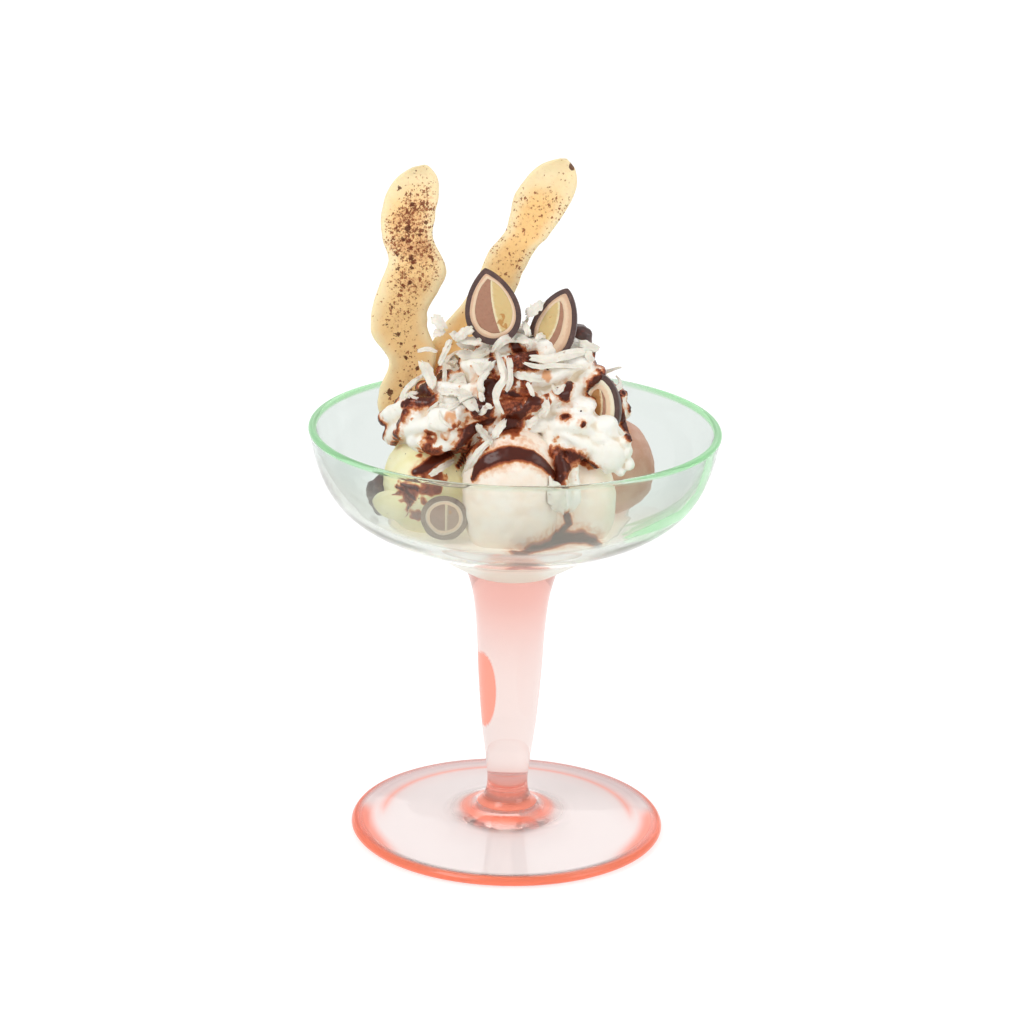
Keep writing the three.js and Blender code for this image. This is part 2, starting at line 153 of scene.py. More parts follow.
# The ice cream: middle, half size, squareness and unevenness of each lump
SCOOPS = {
    "scoop_front": {"at": (-0.9, -18, 110.3), "size": (13.8, 13.8, 19.4), "square": 2.6,
                    "uneven": 0.012},
    "scoop_right": {"at": (17.2, -8, 106.3), "size": (13.2, 13.2, 13.8), "square": 2.5, "seed": 2},
    "scoop_vanilla": {"at": (-25, -8.5, 109.5), "size": (13.4, 13.2, 14), "seed": 3},
    "scoop_chocolate": {"at": (26, 10, 111), "size": (14, 13.6, 15), "seed": 4},
    "scoop_back": {"at": (-8, 19, 108.5), "size": (14, 13.4, 15.5), "seed": 5},
    "vanilla_lump": {"at": (-34.8, -20.5, 107), "size": (5.2, 4.6, 4.6), "uneven": 0.06,
                     "seed": 6},
}
CHUNKS = {
    "chocolate_chunk_left": {"at": (-39.2, -11, 106.5), "size": (3, 3.6, 5.4), "uneven": 0.09,
                             "seed": 7},
    "chocolate_chunk_back": {"at": (17.9, 4.5, 149.2), "size": (4.4, 4, 5.4), "uneven": 0.07,
                             "seed": 8},
}
# How far the food stays off the glass, and how far the pool reaches into it
FOOD_GAP = 0.2
POOL_CREEP = 0.12

# The whipped cream: rounds of the heap as arcs, then ropes by the points they pass
ROUNDS = [
    {"start": 160, "sweep": 122, "middle": -1, "reach": 19.5, "height": 132, "rise": 3,
     "radius": 8},
    {"start": 262, "sweep": 112, "middle": -1, "reach": 19, "height": 134, "rise": 2,
     "radius": 8},
    {"start": 5, "sweep": 165, "middle": -1, "reach": 19, "height": 133, "rise": 2,
     "radius": 8},
    {"start": 185, "sweep": 165, "middle": 2, "reach": 13, "height": 142, "rise": 2,
     "radius": 7.2},
    {"start": 345, "sweep": 205, "middle": 3, "reach": 13, "height": 142, "rise": 2,
     "radius": 7.2},
]
ROUND_DEPTH = 0.78
ROPES = [
    {"line": [(-33, 1, 124), (-28, -8, 128.5), (-20, -14, 130), (-11, -13, 133)], "radius": 7.8},
    {"line": [(6, -9, 135), (14, -12, 132), (22.5, -11, 125.6), (30, -8, 121)], "radius": 6.8,
     "tip": 0.7},
    {"line": [(29, 6, 129), (20, 17, 127), (0, 21, 126.5), (-18, 18, 126), (-28, 9, 125)],
     "radius": 8},
    {"line": [(10, -12, 129), (13, -19, 120), (13.2, -24, 107.4)], "radius": 5.2, "tip": 0.42},
    {"line": [(-9, 0, 147), (3, -2.5, 148.5), (13, -3, 147), (21, -2, 145)], "radius": 6.4,
     "tip": 0.6},
]
CORES = [
    {"at": (0, 1, 127), "size": (23, 15, 19), "square": 2.2},
    {"at": (2, 4, 112), "size": (13, 12, 18), "square": 2.2},
]
# A rope's ridges, how deep they are, how unevenly it is pinched and how thin its tip is
ROPE_RIDGES = 6
RIDGE_DEPTH = 0.16
ROPE_PINCH = 0.04
ROPE_TIP = 0.45

# The halved chocolates. tilt leans the tip to the right, turn swings the cut face to the left
# and nod tips it up. The fillings lie aside from the middle, behind a round seam, with the
# yellow one to the right for 1 and to the left for -1.
SWEETS = {
    "sweet_left": {"at": (-7.5, -8, 163.4), "tilt": -11.7, "turn": 4, "nod": -8, "length": 22.2,
                   "half": 8, "point": 0.79, "seam": 0.2, "yellow": 1, "aside": 0.3,
                   "nougat": 1.2, "round": 34},
    "sweet_right": {"at": (10.5, -7.5, 158), "tilt": 16, "turn": 22, "nod": -8, "length": 23,
                    "half": 6.7, "point": 0.72, "seam": 0.7, "yellow": -1, "aside": -0.8},
    "sweet_side": {"at": (24, -12, 135.4), "tilt": -6, "turn": 30, "nod": -12, "length": 19,
                   "half": 6.4, "point": 0.6, "seam": 1, "yellow": -1, "aside": -0.8},
    "sweet_low": {"at": (-19.6, -25.5, 105.3), "tilt": 0, "turn": 0, "nod": 80, "length": 17,
                  "half": 6.8, "point": 0.5, "seam": 0.2, "yellow": 1, "aside": 0,
                  "nougat": 1.1, "cross": True},
}
COAT = 1.5
NOUGAT = 2
SEAM_ROUND = 16

# Fillings and coats whose colour differs from the others of their kind
SWEET_TONES = {
    ("sweet_side", "marzipan"): "B07A44", ("sweet_side", "nougat"): "EBE1C8",
    ("sweet_low", "coat"): "8C7868", ("sweet_low", "nougat"): "DCC8B4",
    ("sweet_low", "praline"): "9E7C6A", ("sweet_low", "marzipan"): "A88A76",
}

# The wafers: left and right edge of each row as x, height, x, height
WAFER = 1.7
WAFERS = {
    "wafer_left": {
        "depth": 7.5, "lean": 4, "waves": 1.7,
        "rows": [
            (-30, 200.6, -27.4, 200.8),
            (-32, 199.6, -25.8, 199.8), (-35.9, 196.2, -23.6, 196.4), (-38.6, 191.5, -23.3, 191.5),
            (-39.9, 185.5, -24.4, 185.5), (-39.4, 179, -24.6, 179.5), (-37.6, 172.5, -21.2, 171.5),
            (-40.2, 165, -22, 165.5), (-42.2, 158, -25.9, 158), (-42.2, 150, -26, 152),
            (-37.2, 141.5, -23.5, 144), (-39.8, 133.5, -25.5, 134), (-40.2, 126.5, -26, 126),
            (-36.4, 118, -24, 118), (-32.5, 111.5, -25, 111.5),
        ],
    },
    "wafer_right": {
        "depth": 12, "lean": 3, "waves": 1.2,
        "rows": [
            (10.9, 202.8, 13.2, 202.3), (6.2, 201, 15.7, 198.8), (1.6, 196.6, 15.9, 193),
            (-1.6, 191, 12.6, 186), (-3.1, 184.6, 8.1, 179.3), (-4.4, 180.4, 5, 176.2),
            (-9.4, 173.4, 1.2, 168.8), (-12.3, 165.8, -1.6, 161.5), (-16, 159.2, -6, 154.3),
            (-21.5, 152.5, -12, 147), (-27, 143, -18.5, 138), (-29, 137, -23, 133.5),
        ],
    },
}

# How flecked the left wafer is at each height, and the middle and half width of the flecked
# band there as shares of its own half width
FLECKED = [
    (112, 0.12, 0, 0.6), (130, 0.22, 0, 0.6), (136, 0.3, 0, 0.6), (141, 0.2, 0, 0.5),
    (150, 0.15, 0, 0.5), (155, 0.3, 0.05, 0.6), (160, 0.32, 0.05, 0.6), (164, 0.5, 0.05, 0.6),
    (168, 0.8, 0, 0.7), (171, 0.62, -0.05, 0.7), (173, 0.55, -0.05, 0.8), (176, 1, 0, 0.95),
    (184, 1, 0.1, 0.8), (190, 0.8, 0.3, 0.65), (193, 0.35, 0.3, 0.6), (199, 0.08, 0.3, 0.6),
]
# Its largest spots on the front: place and radius
BLOTS = [
    (-34.3, 195.3, 0.7), (-29.8, 200.5, 0.4), (-31.2, 193.9, 0.4), (-34.8, 175.7, 0.4),
    (-30.9, 175.1, 0.8), (-34.7, 171.7, 0.6), (-30.7, 172.1, 0.6), (-31.2, 167.6, 0.6),
    (-35, 152.1, 0.6), (-33.5, 149.6, 0.5), (-37.5, 155.2, 0.4), (-36.2, 160.4, 0.4),
    (-31.9, 183.7, 0.9), (-30.6, 190.5, 0.7), (-26.7, 185.5, 0.6), (-33.2, 180.4, 0.8),
    (-28.7, 182, 0.7), (-36.6, 134.8, 0.9), (-34.4, 152.3, 0.7), (-33.6, 149.5, 0.4),
    (-31.9, 145.4, 0.6), (-28.7, 142.4, 0.6), (-37.4, 130, 0.4), (-33.5, 137.1, 0.4),
    (-35.3, 137, 0.2),
]

# Flecks of each size on the wafers: size of their cells, share of the cells that have one and
# what is taken off it, how far a fleck reaches in its cell, and its colour
FLECKS = [
    (0.6, 0.9, 0, 0.7, "AC683E"), (1.0, 0.9, 0.08, 0.74, "924C2C"),
    (1.7, 0.75, 0.2, 0.74, "78381F"),
]
# The burnt spot on the right wafer's tip, and the heights between which that wafer is specked
# and those over which both wafers grow paler
BURNT_TIP = (14.6, 12, 200.6)
SPECKED_FROM = (160, 170)
SPECKED_TO = (188, 198)
PALER = (186, 199)
# How high a wafer's waves are, how unevenly its edges are worn and how blistered its faces are
WAFER_WAVE = 1.6
WAFER_WORN = 0.035
WAFER_BLISTERS = 0.3

# The camera, and the upright plane through the glass's axis that places on the front are
# given in: x and height there, seen from the camera.
CAMERA_AT = (0, -977.66, 418.95)
CAMERA_AIM = (-0.4, 0, 99.33)
CAMERA_ROLL = math.radians(1.277)
CAMERA_LENS = 123.61
# The soft lights: place in metres, width in metres and share of the main light's power
LAMPS = {
    "key": ((-0.9, -0.9, 1.3), 0.8, 1),
    "fill": ((1.2, -0.6, 0.7), 0.7, 0.35),
    "rear": ((0.3, 1.2, 1.1), 1.2, 0.36),
}
LAMP_AIM = (0, 0, 0.12)

# Soft lobes of cream on the front: place, half width, half height, turn
LOBES = [
    (15.8, 127, 6.8, 3.4, -8), (25.2, 125.3, 5.1, 3.6, -20), (27.3, 118, 6.1, 4.5, 25),
    (20.2, 121, 4.5, 3.4, 10), (11.8, 123.6, 3.0, 2.8, 0), (20, 140.5, 5.4, 2.6, -25),
    (18.3, 132.4, 4.9, 2.4, 5), (-29.6, 127.1, 3.4, 3.1, 0), (-21, 127.3, 5.0, 3.1, 10),
    (-28.7, 121.5, 3.1, 2.7, 0), (-18.5, 122.9, 3.2, 2.3, 15), (-24.4, 119.4, 3.8, 2.5, 20),
]
# Small lobes that serrate the heap's lower right edge: the place whose depth they have, then
# the place and radius of each
TEETH = ((27.3, 118), [
    (32.9, 118.7, 1.7), (33.6, 114.9, 1.7), (30.6, 112.9, 1.6), (27.3, 113.4, 1.5),
    (24.3, 114.9, 1.5), (32.2, 121.8, 1.7),
])
# Ridged shells of cream on the front: where each starts and ends, and its radius
SHELLS = [
    ((14, 128), (27.5, 119), 5.6), ((19, 124.5), (30.5, 116.5), 5.4),
    ((12, 124.5), (20, 119), 4.6),
]

# Chocolate sauce on the front: the places each stroke passes, with its reach there
STROKES = [
    [(-11.8, 109.2, 1.3), (-10.5, 112.4, 2.6), (-7.6, 115, 3.6), (-3.4, 116.7, 3.8),
     (0.9, 117.2, 3.5), (4.7, 116.4, 3), (8, 114.3, 2.4), (10.8, 111.5, 1.9), (12.2, 109.8, 1)],
    [(12.5, 116.3, 2.4), (14.2, 112.9, 4), (13, 109.2, 2.2)],
    [(13.3, 117.4, 2.4), (16.6, 116.4, 3.1), (20.3, 116.5, 2.6), (23.6, 114.3, 1.7)],
    [(-28.8, 110.8, 1.7), (-25.9, 112.3, 2.8), (-22.7, 114.9, 3.1), (-18.4, 117.5, 2.4),
     (-15.2, 120.1, 2.4), (-12.6, 123.9, 2.4), (-10, 126.4, 2.6), (-6.8, 128.2, 1.8)],
    [(-29.4, 135.5, 2.4), (-26.7, 134.4, 4.8), (-24, 133.4, 3.1), (-27.8, 131.6, 2.8)],
    [(-32.3, 131.5, 1.5), (-30.7, 132.4, 2), (-33.6, 124.8, 1.7), (-34.6, 120.3, 2),
     (-36.7, 117.4, 1.5)],
    [(-10.6, 130.9, 4.4), (-7.9, 129, 2.4), (-9.7, 139.3, 3.7), (-6.5, 138.2, 3.3),
     (-7.5, 135.4, 2.8)],
    [(0.3, 147.8, 2.8), (3, 146.2, 4.2), (4.7, 143.5, 3.1), (0.4, 143.4, 2)],
    [(-2.7, 135.5, 2), (0, 134.5, 2.8), (3.3, 134, 2.2), (6, 133, 2.4), (2.3, 130.6, 2),
     (-0.9, 127.8, 3.7), (-2.4, 124.4, 2.8), (-4.6, 123.2, 1.8)],
    [(11.8, 136.4, 1.8), (14.5, 134.3, 2.4), (15.2, 138.7, 1.7)],
    [(14.4, 128.4, 2.4)],
    [(19.5, 126.6, 1.6)],
    [(23.6, 142.6, 1.3), (26.6, 140.1, 1.3), (29.4, 136.9, 1.3), (30.2, 131.9, 1.5),
     (31.4, 126.3, 1.8), (33.1, 122.4, 1.3)],
    [(-0.9, 151.9, 2.2), (-0.5, 148.9, 2)],
    [(18.8, 154.9, 1.8), (20.7, 152.7, 1.7), (21.3, 150, 1.3)],
    [(-7.4, 147.1, 1.1), (-7.1, 143.2, 1.7), (-4.9, 138.3, 1.3), (-6.9, 134.3, 1.5),
     (-7.4, 131, 1.7)],
    [(-15.3, 120.7, 1.3), (-12, 118.5, 1.5), (-14.1, 115.7, 1.3), (-16.7, 112.8, 1.1),
     (-13.1, 120.8, 1.3)],
    [(15.4, 99.9, 1.5), (16.3, 96, 1.8), (14.5, 93.6, 1.5)],
    [(-9.5, 82.8, 1.2), (-2.7, 83.6, 2.2), (2.7, 84.8, 3.4), (7, 86.6, 4.6), (11.3, 88.6, 5.6),
     (15.6, 90.2, 5.6), (19.4, 90.6, 5), (22.7, 89.6, 4), (25.4, 87.6, 3), (26.9, 85.4, 1.5)],
    [(-24.5, 87, 0.9), (-21.2, 86.2, 1.3), (-17.9, 84.6, 1.1), (-15.7, 83.8, 0.9)],
    [(-33.9, 106.7, 0.8), (-31.2, 105.7, 1), (-29, 102.9, 0.9), (-31.1, 100, 0.8)],
    [(-32.3, 107.3, 1), (-28, 106.3, 1)],
]
# Where the sauce has run thin and stains the cream: radius and place
STAINS = [
    (4, -25.6, 119.2), (3.4, -18.2, 128.8), (3.4, -8.3, 128.7), (4.2, -1.7, 132.8),
    (2.6, 8.6, 140.6), (1.7, 21.1, 148.6), (2.4, -20.7, 151.5), (2.6, -26.2, 122), (3, 2, 124),
    (7, 1, 122), (5.5, 7.5, 119.5), (3, -21, 122.2),
]
# Over what nearness to its places the sauce is poured and stands up, how the stain round it
# fades out and stains of their own fade in, and how deep a groove of the cream is shaded
POURED = (0.05, 0.75)
BEADED = (0.1, 0.55)
STAIN_ROUND = (-0.9, 0.2)
STAINED = (-0.1, 1)
GROOVES = (0.04, 0.5)
# How the sauce runs round the sides and the back: the spread of the drizzles' and the blotches'
# places, as degrees, heights and radii, and how far each drizzle drops and leans
DRIZZLE_TURNS = (-15, 210)
DRIZZLE_TOPS = (138, 154)
DRIZZLE_DROPS = (8, 30)
DRIZZLE_LEANS = (-0.5, 0.5)
DRIZZLE_RADII = (1.2, 3.6)
DRIZZLE_SEED = 23
BLOTCH_TURNS = (-10, 200)
BLOTCH_HEIGHTS = (120, 152)
BLOTCH_RADII = (2.5, 5.5)
BLOTCH_SEED = 29
# Where sauce and crumbs mottle the food: radius and place
MOTTLED = [
    (6.1, -26.7, 135), (6.6, -10.1, 130.9), (6.1, -8.1, 139.3), (5.3, 1.4, 145.1),
    (8.3, 0.1, 132.3), (6.1, -1.4, 126.1), (5.3, 4.9, 132.4), (5.3, -13.2, 124.7),
    (6.4, -24.1, 117.7), (3.5, 12.2, 119.1), (4.3, -16.3, 118.4), (4.3, -29.4, 131.6),
    (3.5, 20.4, 115.9), (4.3, -10.4, 120.3), (3.5, -4.8, 135.5), (5.3, -30.1, 103.4),
    (4.2, -28.1, 97.8), (4.8, -24.8, 108.1), (3.5, 20.9, 153.3), (4, -7.1, 144.3),
]
# Larger white shavings on the front: width, lift, twist and the places each passes
CURLS = [
    (2.2, 2.6, 25, [(-5.6, 147.7), (-4.3, 143.8), (-3.4, 140), (-5.3, 136), (-5.7, 132.7),
     (-3.9, 129.4)]),
    (1.8, 2.4, -15, [(-2.6, 147.2), (-1.9, 143.3), (-1.6, 139.5), (-2.9, 136.1)]),
    (2.5, 2.6, -30, [(-6.8, 147.9), (-4.3, 150.9), (-0.6, 152.1), (2.9, 151.1), (3.6, 149)]),
    (3.1, 2, 10, [(-27, 143.9), (-25.3, 140.6), (-23.8, 137)]),
    (1.3, 2.6, 20, [(-28.4, 147.3), (-25.8, 148), (-22.9, 147.3)]),
    (1.1, 2.6, 0, [(-20.9, 145.7), (-20.8, 139.6), (-21.9, 132.3)]),
    (4, 2, -25, [(-19.7, 144.6), (-16.6, 139.1), (-13.9, 133.6), (-11.4, 130.3)]),
    (1.8, 2, 30, [(-22.3, 143.4), (-20.5, 147.3), (-19, 150.7)]),
    (2.7, 1.8, 10, [(-17.3, 146.9), (-12.5, 146.4), (-7.7, 148.5)]),
    (3.2, 1.6, -20, [(-11.7, 144.5), (-9.6, 142.3), (-7.2, 144.9)]),
    (1.4, 2.2, 0, [(-22.5, 131.7), (-19.2, 130.8), (-16.1, 132.7)]),
    (1.6, 1.6, 10, [(-10.4, 135.6), (-9.5, 132.9)]),
    (2.5, 1.6, 15, [(-0.4, 141.4), (3.7, 140.4), (7.1, 140.1)]),
    (1.5, 2.2, 5, [(3.2, 138.7), (5, 134.9)]),
    (2.7, 2.2, 20, [(4.3, 146.3), (8.9, 145.8), (13.6, 147.3), (19.7, 148.4)]),
    (1.4, 2.4, -15, [(2, 144.7), (6.8, 143.5), (11, 144.1), (19.9, 143.6)]),
    (2.4, 1.6, -15, [(19.7, 148.9), (21.9, 145.8)]),
    (1.6, 2, 25, [(10.7, 138.1), (12, 136.2), (14, 138.4)]),
    (2.2, 1.6, 15, [(-10.9, 125.6), (-8.9, 122.8), (-6.9, 120.3)]),
    (2.5, 1.6, -20, [(-3.1, 127.3), (-5.1, 123.8), (-6, 122)]),
    (1.9, 1.4, 15, [(-7.2, 120.9), (-10.4, 117.4), (-13, 113.4), (-15.2, 109.7)]),
    (1.8, 1.2, 10, [(-17.7, 114.6), (-21, 112.6), (-24.5, 110.1)]),
    (2.2, 1.4, 25, [(3.2, 125.9), (6.4, 127.9)]),
    (2.4, 1.4, -20, [(7.2, 136.3), (9, 131.4), (6.9, 128.5)]),
    (2.4, 1.8, 10, [(-24, 152.2), (-20.9, 153.5)]),
    (2.6, 1.8, -15, [(-19, 152.9), (-14.7, 150.7), (-10.4, 150.9)]),
    (2.2, 2, 20, [(-16.8, 149.9), (-12.3, 148.9)]),
    (2.4, 1.4, -10, [(17.8, 151), (23.5, 148.8)]),
    (3.3, 3, 10, [(-23.9, 157.6), (-22.4, 156.2), (-21, 154.4)]),
    (3, 3.4, 15, [(2.5, 158.9), (4.6, 160.6), (6.8, 162.8)]),
    (2.6, 3, -20, [(-17.7, 151.3), (-15.5, 153.1), (-13.2, 154.5)]),
    (1.9, 3, 20, [(1.9, 156.8), (3.4, 152.8)]),
    (4.6, 1.6, 12, [(11, 109), (12.4, 104.5), (14.2, 100.3)]),
]

# Thickness of the shavings, with how ragged their edges are and how many ridges they have
LARGE_SHAVING = 0.4
SMALL_SHAVING = 0.35
RAGGED = 0.35
SHAVING_RIDGES = 2
# The small shavings that are strewn: length, width and how far each bows
PATTERNS = [
    (7, 2.2, 0.6), (9, 1.6, 1.4), (6, 3, 0.4), (11, 2, 2.4), (5, 2.4, 1), (8, 1.2, 0.3),
    (7.5, 2.6, 2), (4.5, 1.6, 0.2),
]
# Where the small pieces lie: over what heights and upward slopes of the cream they start, and
# what stays almost bare, which is the front's right side and the left side below a height
STREWN_HEIGHTS = (122, 140)
STREWN_SLOPES = (-0.3, 0.4)
BARE_RIGHT = (8, 16)
BARE_LEFT = (12, 18)
BARE_BELOW = (128, 134)
# How the small pieces are scaled and how far they tilt, and how many crumbs a square metre has
SHAVING_SCALES = (0.55, 1.1)
SHAVING_TILT = 40
CRUMB_SCALES = (0.5, 1.3)
CRUMB_TILT = 90
CRUMBS_PER_AREA = 9000
CRUMB_SIZE = (0.45, 0.34, 0.3)

# Unevenness of the cream, of the sauce's edge and grain, and of a cut face: the height, size
# and seed of each noise
CREAM_WAVES = [(0.34, 3.2, 2), (0.14, 1.3, 3)]
SAUCE_EDGE_WAVES = [(0.28, 2.4, 11), (0.16, 1, 12)]
SAUCE_GRAIN_WAVES = [(0.8, 2.8, 14), (0.7, 1.2, 15)]
CUT_WAVES = [(0.6, 1.1, 7), (0.5, 3, 8)]

# Large odd numbers from which noise draws, and how far apart its seeds lie
NOISE_MIX = np.array((12.9898, 78.233, 37.719))
NOISE_SCALE = 43758.5453
NOISE_STEP = 31.7
# Steps along a stroke of sauce, and the angle between faces from which an edge is sharp
SPACING = 0.8
SHARP_ANGLE = math.radians(35)


# Numbers, lines and skins

def linear(code):
    """A hexadecimal screen colour as the linear colour that shaders use."""
    parts = [int(code[i:i + 2], 16) / 255 for i in (0, 2, 4)]
    return tuple(p / 12.92 if p < 0.04045 else ((p + 0.055) / 1.055) ** 2.4 for p in parts)


def smooth(value, low, high):
    """0 below low, 1 above high, and a smooth step between them."""
    share = np.clip((value - low) / (high - low), 0, 1)
    return share * share * (3 - 2 * share)


def noise(points, size, seed):
    """Smooth noise from -1 to 1 at the points, with lumps about as large as size."""
    place = np.asarray(points, float) / size + NOISE_STEP * seed
    cell = np.floor(place)
    share = place - cell
    share = share * share * (3 - 2 * share)
    total = np.zeros(len(place))
    for corner in itertools.product((0, 1), repeat=3):
        mixed = np.sin((cell + corner) @ NOISE_MIX) * NOISE_SCALE
        weight = np.prod(np.where(corner, share, 1 - share), axis=1)
        total += weight * (2 * (mixed - np.floor(mixed)) - 1)
    return total


def waves(points, *kinds):
    """The sum of several noises, each given by its height, size and seed."""
    return sum(height * noise(points, size, seed) for height, size, seed in kinds)


def curve(points, steps):
    """A smooth line through the points, with some steps from each to the next."""
    knots = np.asarray(points, float)
    spread = np.vstack([knots[:1], knots, knots[-1:]])
    t = np.linspace(0, 1, steps, endpoint=False)[:, None]
    spans = []
    for a, b, c, d in zip(spread, spread[1:], spread[2:], spread[3:]):
        start, end = (c - a) / 2, (d - b) / 2
        cubic = (2 * b - 2 * c + start + end) * t ** 3
        spans.append(cubic + (3 * c - 3 * b - 2 * start - end) * t ** 2 + start * t + b)
    return np.vstack([*spans, knots[-1:]])


def unit(vectors):
    return vectors / np.maximum(np.linalg.norm(vectors, axis=-1, keepdims=True), 1e-9)


def band(value, middle, half, strength):
    """A soft band that is strongest at its middle."""
    return strength * np.exp(-((value - middle) / half) ** 2)


def all_round(count):
    """Angles all the way round, at even steps."""
    return np.linspace(0, 2 * np.pi, count, endpoint=False)


def circle(reach, height, angle):
    """A level ring of points about the upright axis."""
    return np.stack([reach * np.cos(angle), reach * np.sin(angle), height + 0 * angle], -1)


class Skin:
    """A closed surface: points, triangles, and values at the points."""

    def __init__(self, points, triangles):
        self.points = np.asarray(points, float)
        self.triangles = np.asarray(triangles, int)
        self.values = {}

    def normals(self):
        a, b, c = (self.points[self.triangles[:, k]] for k in range(3))
        faces = np.cross(b - a, c - a)
        total = np.zeros_like(self.points)
        for k in range(3):
            np.add.at(total, self.triangles[:, k], faces)
        return unit(total)

    def raise_by(self, heights):
        self.points = self.points + self.normals() * np.asarray(heights)[:, None]

    def bare(self):
        """The same skin without its values."""
        return Skin(self.points, self.triangles)

    def hollows(self):
        """How far the surface round each point stands above it."""
        rounds = 14
        pairs = self.triangles[:, [0, 1, 1, 2, 2, 0]].reshape(-1, 2)
        size = len(self.points)
        count = np.maximum(np.bincount(pairs[:, 0], minlength=size), 1)
        level = self.points
        for _ in range(rounds):
            level = np.stack([
                np.bincount(pairs[:, 0], level[pairs[:, 1], k], size) / count for k in range(3)
            ], -1)
        return ((level - self.points) * self.normals()).sum(1)


def ringed(first, rings, last):
    """A closed skin over rings of points, between a point at each end."""
    rings = np.asarray(rings, float)
    rows, columns = rings.shape[:2]
    points = np.vstack([[first], rings.reshape(-1, 3), [last]])
    here = 1 + np.arange(rows * columns).reshape(rows, columns)
    beside = np.roll(here, -1, axis=1)
    start = np.zeros(columns, int)
    end = start + len(points) - 1
    quads = (here[:-1], here[1:], beside[1:], beside[:-1])
    triangles = np.vstack([
        np.stack([quads[0], quads[1], quads[2]], -1).reshape(-1, 3),
        np.stack([quads[0], quads[2], quads[3]], -1).reshape(-1, 3),
        np.stack([start, here[0], beside[0]], -1),
        np.stack([end, beside[-1], here[-1]], -1),
    ])
    return Skin(points, triangles)


def gathered(skins):
    """Several skins as one."""
    starts = np.cumsum([0] + [len(s.points) for s in skins])
    whole = Skin(
        np.vstack([s.points for s in skins]),
        np.vstack([s.triangles + n for s, n in zip(skins, starts)]),
    )
    for key in skins[0].values:
        whole.values[key] = np.concatenate([s.values[key] for s in skins])
    return whole


def turned(profile, columns):
    """A surface turned about the upright axis from an outline that starts and ends on it."""
    outline = np.asarray(profile, float)
    rings = [circle(r, z, all_round(columns)) for r, z in outline[1:-1]]
    return ringed((0, 0, outline[0][1]), rings, (0, 0, outline[-1][1]))


def globe(rows, columns):
    """A sphere of radius 1 about the origin."""
    polar = np.pi * np.arange(1, rows + 1) / (rows + 1)
    rings = [circle(np.sin(p), np.cos(p), all_round(columns)) for p in polar]
    return ringed((0, 0, 1), rings, (0, 0, -1))


def lump(at, size, square=2.3, uneven=0.03, seed=1, rows=90, columns=140):
    """A rounded lump: a squarish ellipsoid with low, smooth unevenness."""
    skin = globe(rows, columns)
    way = unit(skin.points)
    reach = (np.abs(way) ** square).sum(1) ** (-1 / square)
    wave = np.sin(3 * way[:, 0] + seed) + np.sin(4 * way[:, 1] + 2 * seed)
    reach = reach * (1 + uneven * (wave + np.sin(3 * way[:, 2] - seed)))
    skin.points = np.array(at) + way * np.array(size) * reach[:, None]
    return skin


def along(line):
    """Direction, and two directions across it that don't spin, at each point of a line."""
    forward = unit(np.gradient(line, axis=0))
    across = np.zeros_like(forward)
    start = np.cross(forward[0], (0.3, 0.2, 1))
    for i, way in enumerate(forward):
        start = start - way * (start @ way)
        start = start / np.linalg.norm(start)
        across[i] = start
    return forward, across, np.cross(forward, across)


def rope(line, radius, tip=ROPE_TIP, ridges=ROPE_RIDGES, depth=RIDGE_DEPTH, twist=0.4):
    """Piped cream: a ridged rope with soft pinches, drawn in at its ends."""
    line = curve(line, 12)
    _, side, up = along(line)
    t = np.linspace(0, 1, len(line))
    ends = np.sqrt(np.clip(np.minimum(t, 1 - t) * 5, 0, 1))
    angle = all_round(ridges * 8)
    reach = radius * (tip + (1 - tip) * ends) * (1 + ROPE_PINCH * np.sin(19 * t))
    ridge = 1 + depth * np.cos(ridges * (angle[None, :] + twist * np.pi * t[:, None]))
    reach = reach[:, None] * ridge
    rings = line[:, None] + (reach * np.cos(angle))[..., None] * side[:, None]
    rings = rings + (reach * np.sin(angle))[..., None] * up[:, None]
    return ringed(line[0], rings, line[-1])


def ribbon(line, width, thick, facing, twist, seed):
    """A thin shaved strip along a line, its flat side towards facing, with torn ends."""
    forward = unit(np.gradient(line, axis=0))
    facing = np.asarray(facing, float)
    flat = unit(facing - forward * (forward @ facing)[:, None])
    side = np.cross(forward, flat)
    t = np.linspace(-1, 1, len(line))
    turn = np.radians(twist) * t
    flat, side = (
        flat * np.cos(turn)[:, None] + side * np.sin(turn)[:, None],
        side * np.cos(turn)[:, None] - flat * np.sin(turn)[:, None],
    )
    place = np.linspace(-1, 1, 7)
    edges = np.stack([np.tile([[seed * 1.7], [seed * 3.1]], len(t)), [3 * t, 3 * t + 9]], -1)
    edges = np.concatenate([edges, np.zeros((2, len(t), 1))], -1)
    low, high = (1 + RAGGED * noise(edge, 0.6, seed) for edge in edges)
    taper = width / 2 * (1 - 0.5 * np.abs(t) ** 3)
    torn = 0.5 * width * noise(np.stack([2.2 * place, 0 * place, 0 * place], -1), 0.5, seed)
    rings = []
    for i, centre in enumerate(line):
        across = np.where(place < 0, low[i], high[i]) * place * taper[i]
        comb = thick / 2 * (1 + 0.5 * np.cos(SHAVING_RIDGES * np.pi * place))
        sheer = np.outer(torn * abs(t[i]) ** 5 * np.sign(t[i]), forward[i])
        curl = np.outer(0.12 * width * place ** 2, flat[i])
        sheet = centre + np.outer(across, side[i]) + sheer - curl
        upper = sheet + np.outer(comb, flat[i])
        lower = sheet - np.outer(np.full(len(place), thick / 2), flat[i])
        rings.append(np.vstack([upper, lower[::-1]]))
    return ringed(rings[0].mean(0), rings, rings[-1].mean(0))


# Places on the glass and on the front

FINE_INSIDE = curve(BOWL_INSIDE, 12)


def floor_under(reach):
    """Height of the bowl's inner wall at a distance from the axis."""
    return np.interp(reach, FINE_INSIDE[::-1, 0], FINE_INSIDE[::-1, 1])


